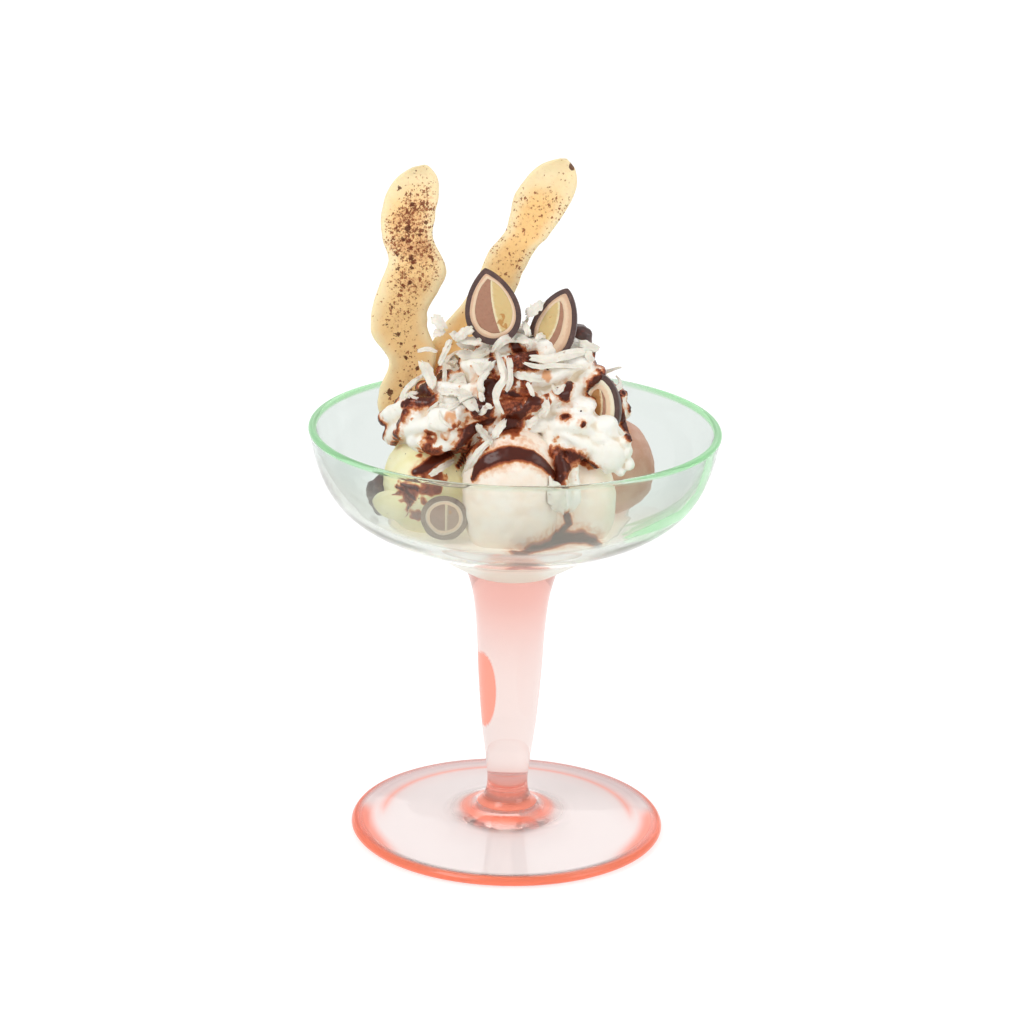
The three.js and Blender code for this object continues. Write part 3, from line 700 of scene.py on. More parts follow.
def wall_at(height):
    """Radius of the bowl's inner wall at a height."""
    return np.interp(height, FINE_INSIDE[::-1, 1], FINE_INSIDE[::-1, 0])


def inside_bowl(points):
    """The points, with those that would meet the glass moved in."""
    reach = np.hypot(points[:, 0], points[:, 1])
    floor = np.where(reach < BOWL_INSIDE[1][0], floor_under(reach) + FOOD_GAP, 0)
    height = np.maximum(points[:, 2], floor)
    low = height < BOWL_INSIDE[0][1]
    limit = np.where(low, wall_at(height) - FOOD_GAP, reach)
    share = np.minimum(1, limit / np.maximum(reach, 1e-6))
    return np.stack([points[:, 0] * share, points[:, 1] * share, height], -1)


def on_front(points):
    """x and height of the places on the middle plane where the camera sees the points."""
    share = -CAMERA_AT[1] / (points[:, 1] - CAMERA_AT[1])
    height = CAMERA_AT[2] + (points[:, 2] - CAMERA_AT[2]) * share
    return np.stack([points[:, 0] * share, height], -1)


class Surface:
    """Finds where lines from outside meet a skin."""

    def __init__(self, skin):
        self.tree = BVHTree.FromPolygons(skin.points.tolist(), skin.triangles.tolist())

    def met(self, start, way, lift=0):
        """The first point on a line from a start, drawn back by a lift, or None."""
        hit = self.tree.ray_cast(start, way)[0]
        return None if hit is None else np.array(hit - way * lift)

    def seen(self, x, height, lift=0, free=None):
        """The first point on the line from the camera through a place on the middle plane.
        Where nothing is met, a piece may lie free there: at a depth, and raised a little."""
        eye = Vector(CAMERA_AT)
        hit = self.met(eye, (Vector((x, 0, height)) - eye).normalized(), lift)
        if hit is None and free:
            return np.array((x, free[0], height + free[1]))
        return hit

    def from_side(self, angle, height):
        """The first point on a level line from outside towards the axis."""
        out = Vector((math.cos(angle), math.sin(angle), 0))
        return self.met(out * 200 + Vector((0, 0, height)), -out)


def sampled(points):
    """Points at even steps along straight lines from place to place."""
    out = []
    for a, b in zip(points, points[1:]):
        a, b = np.array(a, float), np.array(b, float)
        count = max(1, int(np.linalg.norm(b - a) / SPACING))
        out += [a + (b - a) * k / count for k in range(count)]
    return [*out, np.array(points[-1], float)]


def landed(*groups):
    """The points and radii of all hits in some groups, without the hits that met nothing."""
    found = [hit for group in groups for hit in group if hit[0] is not None]
    points, radii = zip(*found)
    return np.array(points), np.array(radii)


def nearness(points, spots, radii):
    """1 on a spot, falling to 0 at its radius and below 0 outside, for the best spot."""
    best = np.full(len(points), -9.0)
    for begin in range(0, len(points), 4000):
        block = points[begin:begin + 4000]
        gap = np.linalg.norm(block[:, None] - spots[None], axis=2)
        best[begin:begin + 4000] = (1 - gap / radii[None]).max(1)
    return best


# Meshes

def mesh_of(name, skin):
    """A Blender mesh of a skin, with the values that are painted on its points."""
    mesh = bpy.data.meshes.new(name)
    mesh.from_pydata((skin.points * MM).tolist(), [], skin.triangles.tolist())
    for key, values in skin.values.items():
        attribute = mesh.attributes.new(key, "FLOAT", "POINT")
        attribute.data.foreach_set("value", np.asarray(values, np.float32))
    return mesh


def outward(mesh):
    """Turns the faces of a mesh outward."""
    work = bmesh.new()
    work.from_mesh(mesh)
    bmesh.ops.recalc_face_normals(work, faces=work.faces)
    work.to_mesh(mesh)
    work.free()


def smoothed(mesh, crisp):
    """Shades a mesh smooth, but keeps its sharp edges where it is crisp."""
    mesh.polygons.foreach_set("use_smooth", np.ones(len(mesh.polygons), bool))
    if crisp:
        mesh.set_sharp_from_angle(angle=SHARP_ANGLE)


def shown(name, data):
    """A new object of a mesh, a lamp or a camera, in the scene."""
    thing = bpy.data.objects.new(name, data)
    bpy.context.collection.objects.link(thing)
    return thing


def made(name, skin, material, slot, nodes=(), crisp=False):
    """A finished piece from a skin, riding on the body and standing for the nodes."""
    mesh = mesh_of(name, skin)
    outward(mesh)
    smoothed(mesh, crisp)
    mesh.materials.append(material)
    return carried(shown(name, mesh), slot, nodes)


def carried(piece, slot, nodes=()):
    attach(piece, "root")
    if nodes:
        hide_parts(*nodes)
    return piece


def skin_of(mesh):
    """The points and triangles of a Blender mesh, in millimetres."""
    mesh.calc_loop_triangles()
    points = np.empty(len(mesh.vertices) * 3)
    mesh.vertices.foreach_get("co", points)
    triangles = np.empty(len(mesh.loop_triangles) * 3, int)
    mesh.loop_triangles.foreach_get("vertices", triangles)
    return Skin(points.reshape(-1, 3) / MM, triangles.reshape(-1, 3))


def applied(piece):
    """The mesh that an object's modifiers give; the object is then removed."""
    graph = bpy.context.evaluated_depsgraph_get()
    mesh = bpy.data.meshes.new_from_object(piece.evaluated_get(graph))
    bpy.data.objects.remove(piece)
    return mesh


def melded(skins, voxel):
    """Overlapping skins melded into one even skin."""
    mesh = mesh_of("melding", gathered(skins))
    outward(mesh)
    piece = shown("melding", mesh)
    remesh = piece.modifiers.new("Meld", "REMESH")
    remesh.mode = "VOXEL"
    remesh.voxel_size = voxel * MM
    return skin_of(applied(piece))


# Finishes

# The second tones of the foods and the floor, beside the colours that a user sets
TONES = {name: linear(code) for name, code in {
    "sauce between": "A45434", "cream clouds": "F7F1E5", "cream grooves": "E6D6BC",
    "nougat inside": "E5C8AA", "nougat grain": "C49A7C", "marzipan seam": "EDDFBC",
    "marzipan browned": "B97F3C", "wafer dust": "D08E60", "wafer burn": "5C2814",
    "shaving clouds": "DFDACE", "shaving stain": "A06A4C", "cream ice clouds": "FBF1E6",
    "vanilla clouds": "F7F2CC", "vanilla specks": "6A5436", "chocolate clouds": "D6AE9C",
    "pool clouds": "FFFAF2", "crumb grain": "6A3A2C", "coat grain": "6A4C44",
    "praline grain": "94664E", "chunk grain": "7A3A2C", "floor clouds": "B0B0B0",
}.items()}
# Over which values the sauce passes from none to amber, to a red brown and to dark, and wet
SAUCE_THIN = (0.1, 0.28)
SAUCE_MIDDLE = (0.22, 0.46)
SAUCE_FULL = (0.45, 0.78)
SAUCE_WET = (0.1, 0.4)
WET_ROUGHNESS = 0.2
# How strongly the sauce on the ice cream is marbled, as a share of that on the cream
ICE_MARBLE = 0.35


class Value:
    """A number in a material. Sums and products of it add Math nodes."""

    def __init__(self, finish, socket):
        self.finish = finish
        self.socket = socket

    def _math(self, operation, first, second):
        node = self.finish.node("ShaderNodeMath", {"operation": operation}, {0: first, 1: second})
        return Value(self.finish, node.outputs[0])

    def __add__(self, other):
        return self._math("ADD", self, other)

    __radd__ = __add__

    def __sub__(self, other):
        return self._math("SUBTRACT", self, other)

    def __rsub__(self, other):
        return self._math("SUBTRACT", other, self)

    def __mul__(self, other):
        return self._math("MULTIPLY", self, other)

    def __lt__(self, other):
        return self._math("LESS_THAN", self, other)

    def at_least(self, other):
        return self._math("MAXIMUM", self, other)

    def step(self, low, high):
        """0 below low, 1 above high, and a smooth step between them."""
        settings = {"interpolation_type": "SMOOTHSTEP"}
        node = self.finish.node("ShaderNodeMapRange", settings, {0: self, 1: low, 2: high})
        return Value(self.finish, node.outputs[0])


class Finish:
    """A material made of nodes."""

    def __init__(self, name):
        self.material = bpy.data.materials.new(name)
        self.material.use_nodes = True
        self.nodes = self.material.node_tree.nodes
        self.nodes.clear()
        self.output = self.node("ShaderNodeOutputMaterial")
        self.place = self.node("ShaderNodeTexCoord").outputs["Object"]

    def node(self, kind, settings=None, sockets=None):
        node = self.nodes.new(kind)
        for key, value in (settings or {}).items():
            setattr(node, key, value)
        for key, value in (sockets or {}).items():
            self.feed(node.inputs[key], value)
        return node

    def feed(self, socket, value):
        if isinstance(value, Value):
            value = value.socket
        if isinstance(value, bpy.types.NodeSocket):
            self.material.node_tree.links.new(value, socket)
        elif isinstance(value, tuple) and len(value) == 3 and socket.type == "RGBA":
            socket.default_value = (*value, 1)
        else:
            socket.default_value = value

    def mix(self, factor, first, second):
        """From the first colour to the second as the factor goes from 0 to 1."""
        node = self.node("ShaderNodeMix", {"data_type": "RGBA"}, {0: factor, 6: first, 7: second})
        return node.outputs[2]

    def noise(self, size, detail=2.0, rough=0.5):
        """Noise from 0 to 1 with lumps as large as size, in millimetres."""
        sockets = {"Vector": self.place, "Scale": 1 / (size * MM), "Detail": detail,
                   "Roughness": rough}
        return Value(self, self.node("ShaderNodeTexNoise", None, sockets).outputs[0])

    def cells(self, size, at=None):
        """Distance to the middle of the nearest cell, and that cell's own random number."""
        sockets = {"Vector": at or self.place, "Scale": 1 / (size * MM)}
        node = self.node("ShaderNodeTexVoronoi", None, sockets)
        parts = self.node("ShaderNodeSeparateColor", None, {0: node.outputs["Color"]})
        return Value(self, node.outputs["Distance"]), Value(self, parts.outputs[0])

    def wobbled(self, size, reach):
        """Places shifted unevenly by up to a reach, in millimetres."""
        cloud = self.node("ShaderNodeTexNoise", None, {
            "Vector": self.place, "Scale": 1 / (size * MM), "Detail": 3.0,
        })
        shifts = {0: cloud.outputs["Color"], 1: (2 * reach * MM,) * 3, 2: self.place}
        return self.node("ShaderNodeVectorMath", {"operation": "MULTIPLY_ADD"}, shifts).outputs[0]

    def painted(self, name):
        """A value painted on the piece's points."""
        node = self.node("ShaderNodeAttribute", {"attribute_name": name})
        return Value(self, node.outputs["Fac"])

    def bump(self, height, depth):
        """The normal of a surface raised by height times depth, in millimetres."""
        sockets = {"Height": height, "Distance": depth * MM, "Strength": 1.0}
        return self.node("ShaderNodeBump", None, sockets).outputs[0]

    def surface(self, sockets):
        shader = self.node("ShaderNodeBsdfPrincipled", None, sockets)
        self.feed(self.output.inputs["Surface"], shader.outputs[0])
        return self.material

    def food(self, colour, rough, relief, depth, soft, reach, more=None):
        """Food with a relief of a depth, into which light sinks softly and by a reach."""
        return self.surface({
            "Base Color": colour, "Roughness": rough, "Normal": self.bump(relief, depth),
            "Subsurface Weight": soft, "Subsurface Scale": reach * MM, **(more or {}),
        })


def sauced(finish, base, rough, amber, dark, marble=1.0):
    """Adds the sauce and its stains, from thin and amber to thick and dark, to a food's colour."""
    sauce = finish.painted("sauce")
    stain = finish.painted("stain")
    broken = finish.noise(1.4, 3)
    stained = finish.mix((stain + (broken - 0.5) * 0.9).step(0.18, 0.85) * 0.85, base, amber)
    fine = finish.noise(0.8, 4, 0.7)
    marbled = sauce + (broken - 0.5) * 0.5 * marble + (fine - 0.5) * 0.7 * marble
    thin = finish.mix(marbled.step(*SAUCE_THIN) * 0.9, stained, amber)
    middle = finish.mix(marbled.step(*SAUCE_MIDDLE), thin, TONES["sauce between"])
    full = finish.mix(marbled.step(*SAUCE_FULL), middle, dark)
    wet = sauce.step(*SAUCE_WET)
    return full, wet * (WET_ROUGHNESS - rough) + rough, wet


def ice_finish(name, colour, pale, looks, rough=0.5, specks=None, glow=0.05):
    """Ice cream: fine ice grain, soft colour clouds, the sauce that lies on it and a faint painted
    glow that lightens it in shade.
    """
    finish = Finish(name)
    clouds = finish.noise(6, 3).step(0.3, 0.7)
    grain = finish.noise(0.5, 3, 0.7)
    base = finish.mix(clouds, tuple(colour), pale)
    base = finish.mix((grain - 0.5).step(0.05, 0.3) * 0.25, base, (1.0, 0.97, 0.93))
    if specks:
        gap, pick = finish.cells(1.5)
        speck = (1 - gap.step(0.1, 0.2)) * (pick < 0.16)
        base = finish.mix(speck * 0.8, base, specks)
    full, roughness, wet = sauced(finish, base, rough, tuple(looks.amber), tuple(looks.dark),
                                  ICE_MARBLE)
    relief = (grain + finish.noise(1.6, 2) * 0.8) * (1 - wet)
    # The emission is painted light: a faint glow that lightens the ice cream where it lies in
    # shade
    return finish.food(full, roughness, relief, 0.14, 0.25, 1.5, {
        "Specular IOR Level": 0.3, "Subsurface Radius": (1.0, 0.7, 0.5), "Emission Color": full,
        "Emission Strength": glow,
    })


def cream_finish(colour, looks):
    """Whipped cream: warm white with faint shade in its grooves, stained by the sauce."""
    finish = Finish("Whipped cream")
    clouds = finish.noise(5, 3).step(0.35, 0.7)
    base = finish.mix(clouds * 0.5, tuple(colour), TONES["cream clouds"])
    base = finish.mix(finish.painted("hollow") * 0.85, base, TONES["cream grooves"])
    full, roughness, wet = sauced(finish, base, 0.5, tuple(looks.amber), tuple(looks.dark))
    relief = finish.noise(0.8, 3) * (1 - wet)
    return finish.food(full, roughness, relief, 0.12, 0.3, 1.5, {
        "Specular IOR Level": 0.3, "Subsurface Radius": (1.0, 0.85, 0.7),
    })


def paste_finish(name, colour, other, size, share, rough=0.55, gloss=0.0):
    """A filling or a coat: two tones in grains of a size, in millimetres."""
    finish = Finish(name)
    grain = finish.noise(size, 4, 0.65)
    base = finish.mix(grain.step(0.6 - share, 0.95 - share), tuple(colour), other)
    return finish.food(base, rough + grain * 0.15, grain, 0.1, 0.1, 1,
                       {"Coat Weight": gloss, "Coat Roughness": 0.25})


def nougat_finish(colour):
    """Nougat in two tones, pinkish outside and creamy inside."""
    finish = Finish("Nougat")
    grain = finish.noise(0.7, 4, 0.65)
    deep = (finish.painted("deep") + (grain - 0.5) * 0.5).step(0.25, 0.6)
    base = finish.mix(deep, tuple(colour), TONES["nougat inside"])
    base = finish.mix(grain.step(0.62, 0.75) * 0.5, base, TONES["nougat grain"])
    return finish.food(base, 0.6, grain, 0.1, 0.1, 1)


def marzipan_finish(colour):
    """Marzipan: creamy along its seam, with a few browned bits."""
    finish = Finish("Marzipan")
    grain = finish.noise(0.6, 4, 0.65)
    seam = finish.painted("seam")
    creamy = 1 - (seam + (grain - 0.5) * 1.2).step(0.2, 0.9)
    base = finish.mix(creamy * 0.8, tuple(colour), TONES["marzipan seam"])
    near = seam.step(0.4, 1.2) * (1 - seam.step(2.2, 3.6)) * finish.painted("low").step(0, 3)
    browned = (finish.noise(1.7, 3) + near * 0.16).step(0.66, 0.72)
    base = finish.mix(browned * 0.85, base, TONES["marzipan browned"])
    return finish.food(base, 0.6, grain, 0.1, 0.15, 1)


def glass_finish(name, wall, shaded, edge, haze, absorbs, density, bend, clear=False):
    """Solid glass. Painted on its points are where its edge shows in the edge's colour and glows
    with painted light, where a pale film lies on it, which on the foot is painted light, and where
    its wall is painted with shade. Where it is clear, as in the joint, it doesn't show."""
    finish = Finish(name)
    painted, filmed = finish.painted("edge"), finish.painted("haze")
    tint = finish.mix(finish.painted("shade"), tuple(wall), tuple(shaded))
    tint = finish.mix(painted, tint, tuple(edge))
    edged = painted.step(0.05, 0.4)
    seen = 0.0 if clear else 1.0
    glass = finish.node("ShaderNodeBsdfPrincipled", None, {
        "Base Color": tint, "Roughness": 0.0, "IOR": bend, "Transmission Weight": 1.0,
        "Coat Weight": 0.5 * seen, "Coat IOR": 1.5, "Coat Roughness": 0.0, "Alpha": seen,
    })
    film = finish.node("ShaderNodeBsdfPrincipled", None, {
        "Base Color": finish.mix(edged, tuple(haze), tuple(edge)), "Roughness": 0.3,
        "Emission Color": finish.mix(edged, (0.0, 0.0, 0.0), tuple(edge)),
        "Emission Strength": EDGE_GLOW, "Alpha": seen,
    })
    whole = finish.node("ShaderNodeMixShader", None, {
        0: (painted * EDGE_FILM).at_least(filmed * HAZE_FILM), 1: glass.outputs[0],
        2: film.outputs[0],
    })
    finish.feed(finish.output.inputs["Surface"], whole.outputs[0])
    volume = finish.node("ShaderNodeVolumeAbsorption", None,
                         {"Color": tuple(absorbs), "Density": density})
    finish.feed(finish.output.inputs["Volume"], volume.outputs[0])
    return finish.material


def wafer_finish(name, colour, baked):
    """Baked batter: pale at the edges, golden inside, with brown specks of many sizes."""
    finish = Finish(name)
    clouds = finish.noise(7, 3)
    golden = (finish.painted("golden") + (clouds - 0.5) * 0.8).step(0.15, 0.95)
    base = finish.mix(golden, tuple(colour), tuple(baked))
    flecks = finish.painted("flecks")
    dust = finish.noise(0.9, 4, 0.75)
    reddened = (dust + flecks * 0.3).step(0.56, 0.82)
    base = finish.mix(reddened * 0.6, base, TONES["wafer dust"])
    relief = finish.noise(1.1, 3) * 0.6
    for size, share, least, reach, code in FLECKS:
        gap, pick = finish.cells(size, finish.wobbled(size * 0.5, size * 0.8))
        blot = finish.noise(size * 0.4, 3) * 0.5
        spot = (1 - (gap + blot).step(reach - 0.1, reach)) * (pick < flecks * share - least)
        base = finish.mix(spot * 0.88, base, linear(code))
        relief = relief + spot * 0.5
    burn = finish.painted("burn") + (finish.noise(1.1, 4, 0.7) - 0.5) * 2.2
    base = finish.mix(burn.step(0.5, 0.68) * 0.92, base, TONES["wafer burn"])
    return finish.food(base, 0.62, relief, 0.18, 0.15, 1.2, {
        "Specular IOR Level": 0.25, "Subsurface Radius": (1.0, 0.7, 0.35),
    })


def shaving_finish(colour):
    """White chocolate shavings, cool white and faintly ridged."""
    finish = Finish("White chocolate")
    clouds = finish.noise(3, 2).step(0.3, 0.7)
    base = finish.mix(clouds, tuple(colour), TONES["shaving clouds"])
    base = finish.mix(finish.noise(2.2, 3).step(0.64, 0.72) * 0.5, base, TONES["shaving stain"])
    return finish.food(base, 0.42, finish.noise(0.7, 2), 0.08, 0.15, 0.8)


# Sizes and colours that a user would change

def tint_of(name, description, default):
    return FloatVectorProperty(
        name=name, description=description, subtype="COLOR", size=3, min=0, max=1,
        default=default,
    )


def colour_of(name, description, code):
    return tint_of(name, description, linear(code))


def length_of(name, description, default):
    return FloatProperty(name=name, description=description, unit="LENGTH", default=default)


def number_of(name, description, default):
    return FloatProperty(name=name, description=description, default=default)


class SundaeGlass(bpy.types.PropertyGroup):
    rim_radius: length_of("Rim radius", "Outer radius of the bowl's rim",
                          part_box("glass_bowl")[1][0])
    bowl: colour_of("Bowl", "Colour of the bowl's wall", "F8FAF8")
    bowl_shade: colour_of("Bowl shade", "Colour of the wall at the back and the sides", "B8C2BE")
    rim: colour_of("Rim", "Colour of the rim", "A0E0A4")
    green_absorbed: tint_of("Bowl depth tint", "What the bowl's glass lets through",
                            (0.0, 0.75, 0.2))
    green_density: number_of("Bowl density", "Depth of the bowl's tint per metre", 5)
    stem: colour_of("Stem", "Colour of the stem's glass", "EEE4E2")
    stem_shade: colour_of("Stem shade", "Colour of the stem's lines and rings", "DDBCBC")
    foot: colour_of("Foot edge", "Colour of the foot's edge", "F47A58")
    bowl_haze: colour_of("Bowl haze", "Colour of the haze low on the bowl", "E6E4D5")
    # The foot's pale film is painted light, lightening its top where the floor under it is shaded
    # by the glass
    haze: colour_of("Foot haze", "Colour of the haze on the foot", "FFF6F6")
    pink_absorbed: tint_of("Stem depth tint", "What the stem's glass lets through",
                           (0.9, 0.25, 0.0))
    pink_density: number_of("Stem density", "Depth of the stem's tint per metre", 9)


class SundaeIce(bpy.types.PropertyGroup):
    level: length_of("Melted level", "Height of the melted ice cream",
                     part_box("melted_ice_cream")[1][2])
    cream: colour_of("Cream ice", "Colour of the pale pinkish scoops", "F8E6D5")
    vanilla: colour_of("Vanilla ice", "Colour of the yellow scoop", "F1EAB6")
    chocolate: colour_of("Chocolate ice", "Colour of the brown scoop", "CA9882")
    melted: colour_of("Melted ice", "Colour of the pool", "FEF6EA")


class SundaeCream(bpy.types.PropertyGroup):
    white: colour_of("Cream", "Colour of the whipped cream", "FCF9F1")
    fineness: length_of("Fineness", "Size of the finest form in the heap", 0.55 * MM)
    shaving: colour_of("Shavings", "Colour of the white chocolate", "F0EADD")
    shavings: number_of("Shavings per area", "Small shavings per square metre", 26000)
    seed: IntProperty(name="Seed", description="Which draw of small pieces is used", default=4)


class SundaeSauce(bpy.types.PropertyGroup):
    dark: colour_of("Sauce", "Colour of thick sauce", "4E1D10")
    amber: colour_of("Thin sauce", "Colour where the sauce is thin", "DC9658")
    thick: length_of("Thickness", "Height of thick sauce over the food", 0.7 * MM)
    drizzles: IntProperty(
        name="Drizzles", description="Strokes of sauce round the sides and back", default=16)


class SundaeSweets(bpy.types.PropertyGroup):
    coat: colour_of("Coat", "Colour of the dark chocolate coat", "4A312D")
    nougat: colour_of("Nougat", "Colour of the pale layer", "D4AE90")
    praline: colour_of("Praline", "Colour of the brown filling", "A87A62")
    marzipan: colour_of("Marzipan", "Colour of the yellow filling", "D3B77E")


class SundaeWafers(bpy.types.PropertyGroup):
    thickness: length_of("Thickness", "Thickness of a wafer", WAFER * MM)
    edge: colour_of("Edge", "Colour of the wafers' pale edges", "F7E3B6")
    left: colour_of("Left wafer", "Golden colour of the left wafer", "F6D093")
    right: colour_of("Right wafer", "Golden colour of the right wafer", "F9CD8B")


class SundaeStage(bpy.types.PropertyGroup):
    floor: colour_of("Floor", "Colour of the pale floor", "B2B2B2")
    glow: number_of("Floor glow", "Light of the floor itself", 0.66)
    key: number_of("Key light", "Power of the main soft light", 10)
    sky: number_of("Sky", "Strength of the even white light", 0.72)


LOOKS = {
    "sundae_glass": SundaeGlass,
    "sundae_ice": SundaeIce,
    "sundae_cream": SundaeCream,
    "sundae_sauce": SundaeSauce,
    "sundae_sweets": SundaeSweets,
    "sundae_wafers": SundaeWafers,
    "sundae_stage": SundaeStage,
}


# The stage

class SUNDAE_OT_stage(bpy.types.Operator):
    """Makes the floor, the soft lights and the camera"""
    bl_idname = "sundae.stage"
    bl_label = "Stage"

    def execute(self, context):
        looks = context.scene.sundae_stage
        self.floor(looks)
        self.lights(looks)
        self.camera()
        context.scene.view_settings.view_transform = "Standard"
        return {"FINISHED"}

    def floor(self, looks):
        mesh = bpy.data.meshes.new("floor")
        work = bmesh.new()
        bmesh.ops.create_grid(work, x_segments=8, y_segments=8, size=6)
        work.to_mesh(mesh)
        work.free()
        finish = Finish("Floor")
        base = finish.mix(finish.noise(400, 2), tuple(looks.floor), TONES["floor clouds"])
        finish.surface({
            "Base Color": base, "Roughness": 0.8, "Emission Color": (1.0, 1.0, 1.0),
            "Emission Strength": looks.glow,
        })
        mesh.materials.append(finish.material)
        floor = shown("floor", mesh)
        floor.location.z = -0.05 * MM

    def lights(self, looks):
        world = bpy.data.worlds.new("Studio")
        world.use_nodes = True
        sky = world.node_tree.nodes["Background"]
        sky.inputs[0].default_value = (1, 1, 1, 1)
        sky.inputs[1].default_value = looks.sky
        bpy.context.scene.world = world
        for name, (at, size, share) in LAMPS.items():
            data = bpy.data.lights.new(name, "AREA")
            data.size = size
            data.energy = looks.key * share
            lamp = shown(name, data)
            lamp.location = at
            aim = Vector(LAMP_AIM) - Vector(at)
            lamp.rotation_euler = aim.to_track_quat("-Z", "Y").to_euler()

    def camera(self):
        data = bpy.data.cameras.new("camera")
        data.lens = CAMERA_LENS
        data.sensor_width = 36
        data.clip_start = 0.01
        camera = shown("camera", data)
        eye = Vector(CAMERA_AT)
        way = (Vector(CAMERA_AIM) - eye).to_track_quat("-Z", "Y").to_matrix()
        turn = way @ Matrix.Rotation(CAMERA_ROLL, 3, "Z")
        camera.matrix_world = Matrix.Translation(eye * MM) @ turn.to_4x4()
        bpy.context.scene.camera = camera


# The glass

class SUNDAE_OT_glass(bpy.types.Operator):
    """Makes the clear green bowl and the pink stem and foot, which meet as one glass"""
    bl_idname = "sundae.glass"
    bl_label = "Glass"

    def execute(self, context):
        looks = context.scene.sundae_glass
        scale = looks.rim_radius / MM / BOWL_OUTSIDE[-1][0]
        bowl = [(0, JOINT_HEIGHT), (JOINT_REACH, JOINT_HEIGHT), *curve(BOWL_OUTSIDE, 14),
                *self.bead(), *FINE_INSIDE]
        hollow, top = FOOT[0][1], JOINT_HEIGHT - JOINT_GAP
        stem = [(0, hollow), (HOLLOW_REACH, hollow), *FOOT[:3], *curve(FOOT[3:], 6),
                *curve(STEM_OUTSIDE, 14)[:-1], (STEM_OUTSIDE[-1][0], top), (JOINT_REACH, top),
                (0, top)]
        green = (looks.bowl, looks.bowl_shade, looks.rim, looks.bowl_haze, looks.green_absorbed,
                 looks.green_density, BOWL_BEND)
        pink = (looks.stem, looks.stem_shade, looks.foot, looks.haze, looks.pink_absorbed,
                looks.pink_density, STEM_BEND)
        self.part("bowl_glass", bowl, scale, "Bowl glass", green, self.bowl_paint,
                  "clear_glass", "glass_bowl")
        self.part("stem_glass", stem, 1, "Stem glass", pink, self.stem_paint,
                  "pink_glass", "glass_stem_foot")
        return {"FINISHED"}

    def bead(self):
        """The round crest of the rim, from outside to inside."""
        middle = (BOWL_OUTSIDE[-1][0] + BOWL_INSIDE[0][0]) / 2
        half = (BOWL_OUTSIDE[-1][0] - BOWL_INSIDE[0][0]) / 2
        angles = np.linspace(0, np.pi, 12)[1:-1]
        return [
            (middle + half * math.cos(a), BOWL_OUTSIDE[-1][1] + half * math.sin(a)) for a in angles
        ]

    def part(self, name, profile, scale, title, tint, paint, slot, node):
        skin = turned([(r * scale, z) for r, z in profile], GLASS_COLUMNS)
        skin.values.update(paint(skin.points))
        piece = made(name, skin, glass_finish(title, *tint), slot, [node])
        piece.data.materials.append(glass_finish(title + " joint", *tint, clear=True))
        for face in piece.data.polygons:
            flat = abs(abs(face.normal.z) - 1) < 1e-3
            if flat and abs(face.center.z / MM - JOINT_HEIGHT) < 2 * JOINT_GAP:
                face.material_index = 1

    def bowl_paint(self, points):
        """The rim is green, more to its sides; a streak low on the right is a painted reflection
        of it.
        """
        x, y, height = points.T
        side = np.abs(x) / BOWL_OUTSIDE[-1][0]
        green = RIM_LEAST + (1 - RIM_LEAST) * smooth(side, 0.4, 0.95)
        rim = smooth(height, *RIM_BAND) * green
        spots = np.array(sampled(REFLECTED_STREAK))
        place = np.column_stack([on_front(points), 0 * x])
        near = nearness(place, spots * (1, 1, 0), spots[:, 2])
        reflected_streak = REFLECTED_STREAK_STRENGTH * smooth(near, 0, 0.35) * (y < 0)
        outline = sum(strength * smooth(side, *share) for strength, *share in SIDE_SHADES)
        shade = np.where(y < 0, outline, BACK_SHADE)
        shade = np.where(height < LOW_HEIGHT, LOW_SHADE, shade)
        haze = HAZE * (1 - smooth(height, *HAZE_BAND))
        haze = np.maximum(haze, VEIL * (y < 0) * (1 - smooth(height, *VEIL_BAND)))
        return {"edge": np.maximum(rim, reflected_streak), "shade": shade, "haze": haze}

    def stem_paint(self, points):
        """The foot's edge is salmon, and so are its rings. A salmon patch on the stem's left is a
        painted reflection, salmon lines along its sides are painted light, painted shade lies at
        the foot's back and the neck's base, and a pale film on the foot's top is painted light.
        """
        x, y, height = points.T
        reach = np.hypot(x, y)
        edge = smooth(reach, *FOOT_EDGE) * (1 - 0.55 * smooth(y, -5, 35))
        wedge = smooth(reach, *WEDGE_REACH) * smooth(np.abs(x), *WEDGE_SIDE)
        wedge = 0.55 * wedge * smooth(-y, *WEDGE_FRONT)
        ring = band(reach, *FOOT_RING) * smooth(y, -10, 8)
        knob = band(reach, *KNOB_RING) * (height < NECK)
        necks = [band(height, *place) * (reach < NECK) for place in NECK_BANDS]
        top = 0.28 * smooth(height, *STEM_TOP) * (reach < 15)
        stem = (reach < 12.5) * (height > STEM_FROM)
        # A painted reflection: a darker salmon patch on the stem's left, also painted with shade
        left, middle, half, high, strength = STEM_REFLECTION
        lens = ((height - middle) / high) ** 2 + ((x - left) / half) ** 2
        patch = strength * smooth(1.25 - lens, 0, 0.2) * (y < 0) * stem
        # Painted light: salmon lines along the stem's sides, where the front view sees them
        # edge-on
        line = 0.35 * smooth(np.abs(x) / np.maximum(reach, 1), 0.93, 0.99) * stem
        # A pale film of painted light on the foot's top, where the floor under the glass foot lies
        # in its shadow
        pale = smooth(reach, *PALE_FROM) * (1 - smooth(reach, *PALE_TO)) * (height > 2)
        # Painted shade: a grey-pink ring at the back of the foot, and the stem's base below the
        # neck
        rear = smooth(reach, 38, 40) * smooth(y, 0, 20)
        return {
            "edge": np.maximum.reduce([edge, wedge, ring, knob, *necks, top, patch, line]),
            "shade": np.maximum.reduce([0.8 * rear, 0.4 * (reach < 11) * (height < NECK), patch]),
            "haze": 0.9 * pale * (1 - 0.5 * rear),
        }


# The ice cream

# Skins that later steps need: the food that sauce lies on, and the sweets' layers
STORE = {}
SWEET_SKINS = []


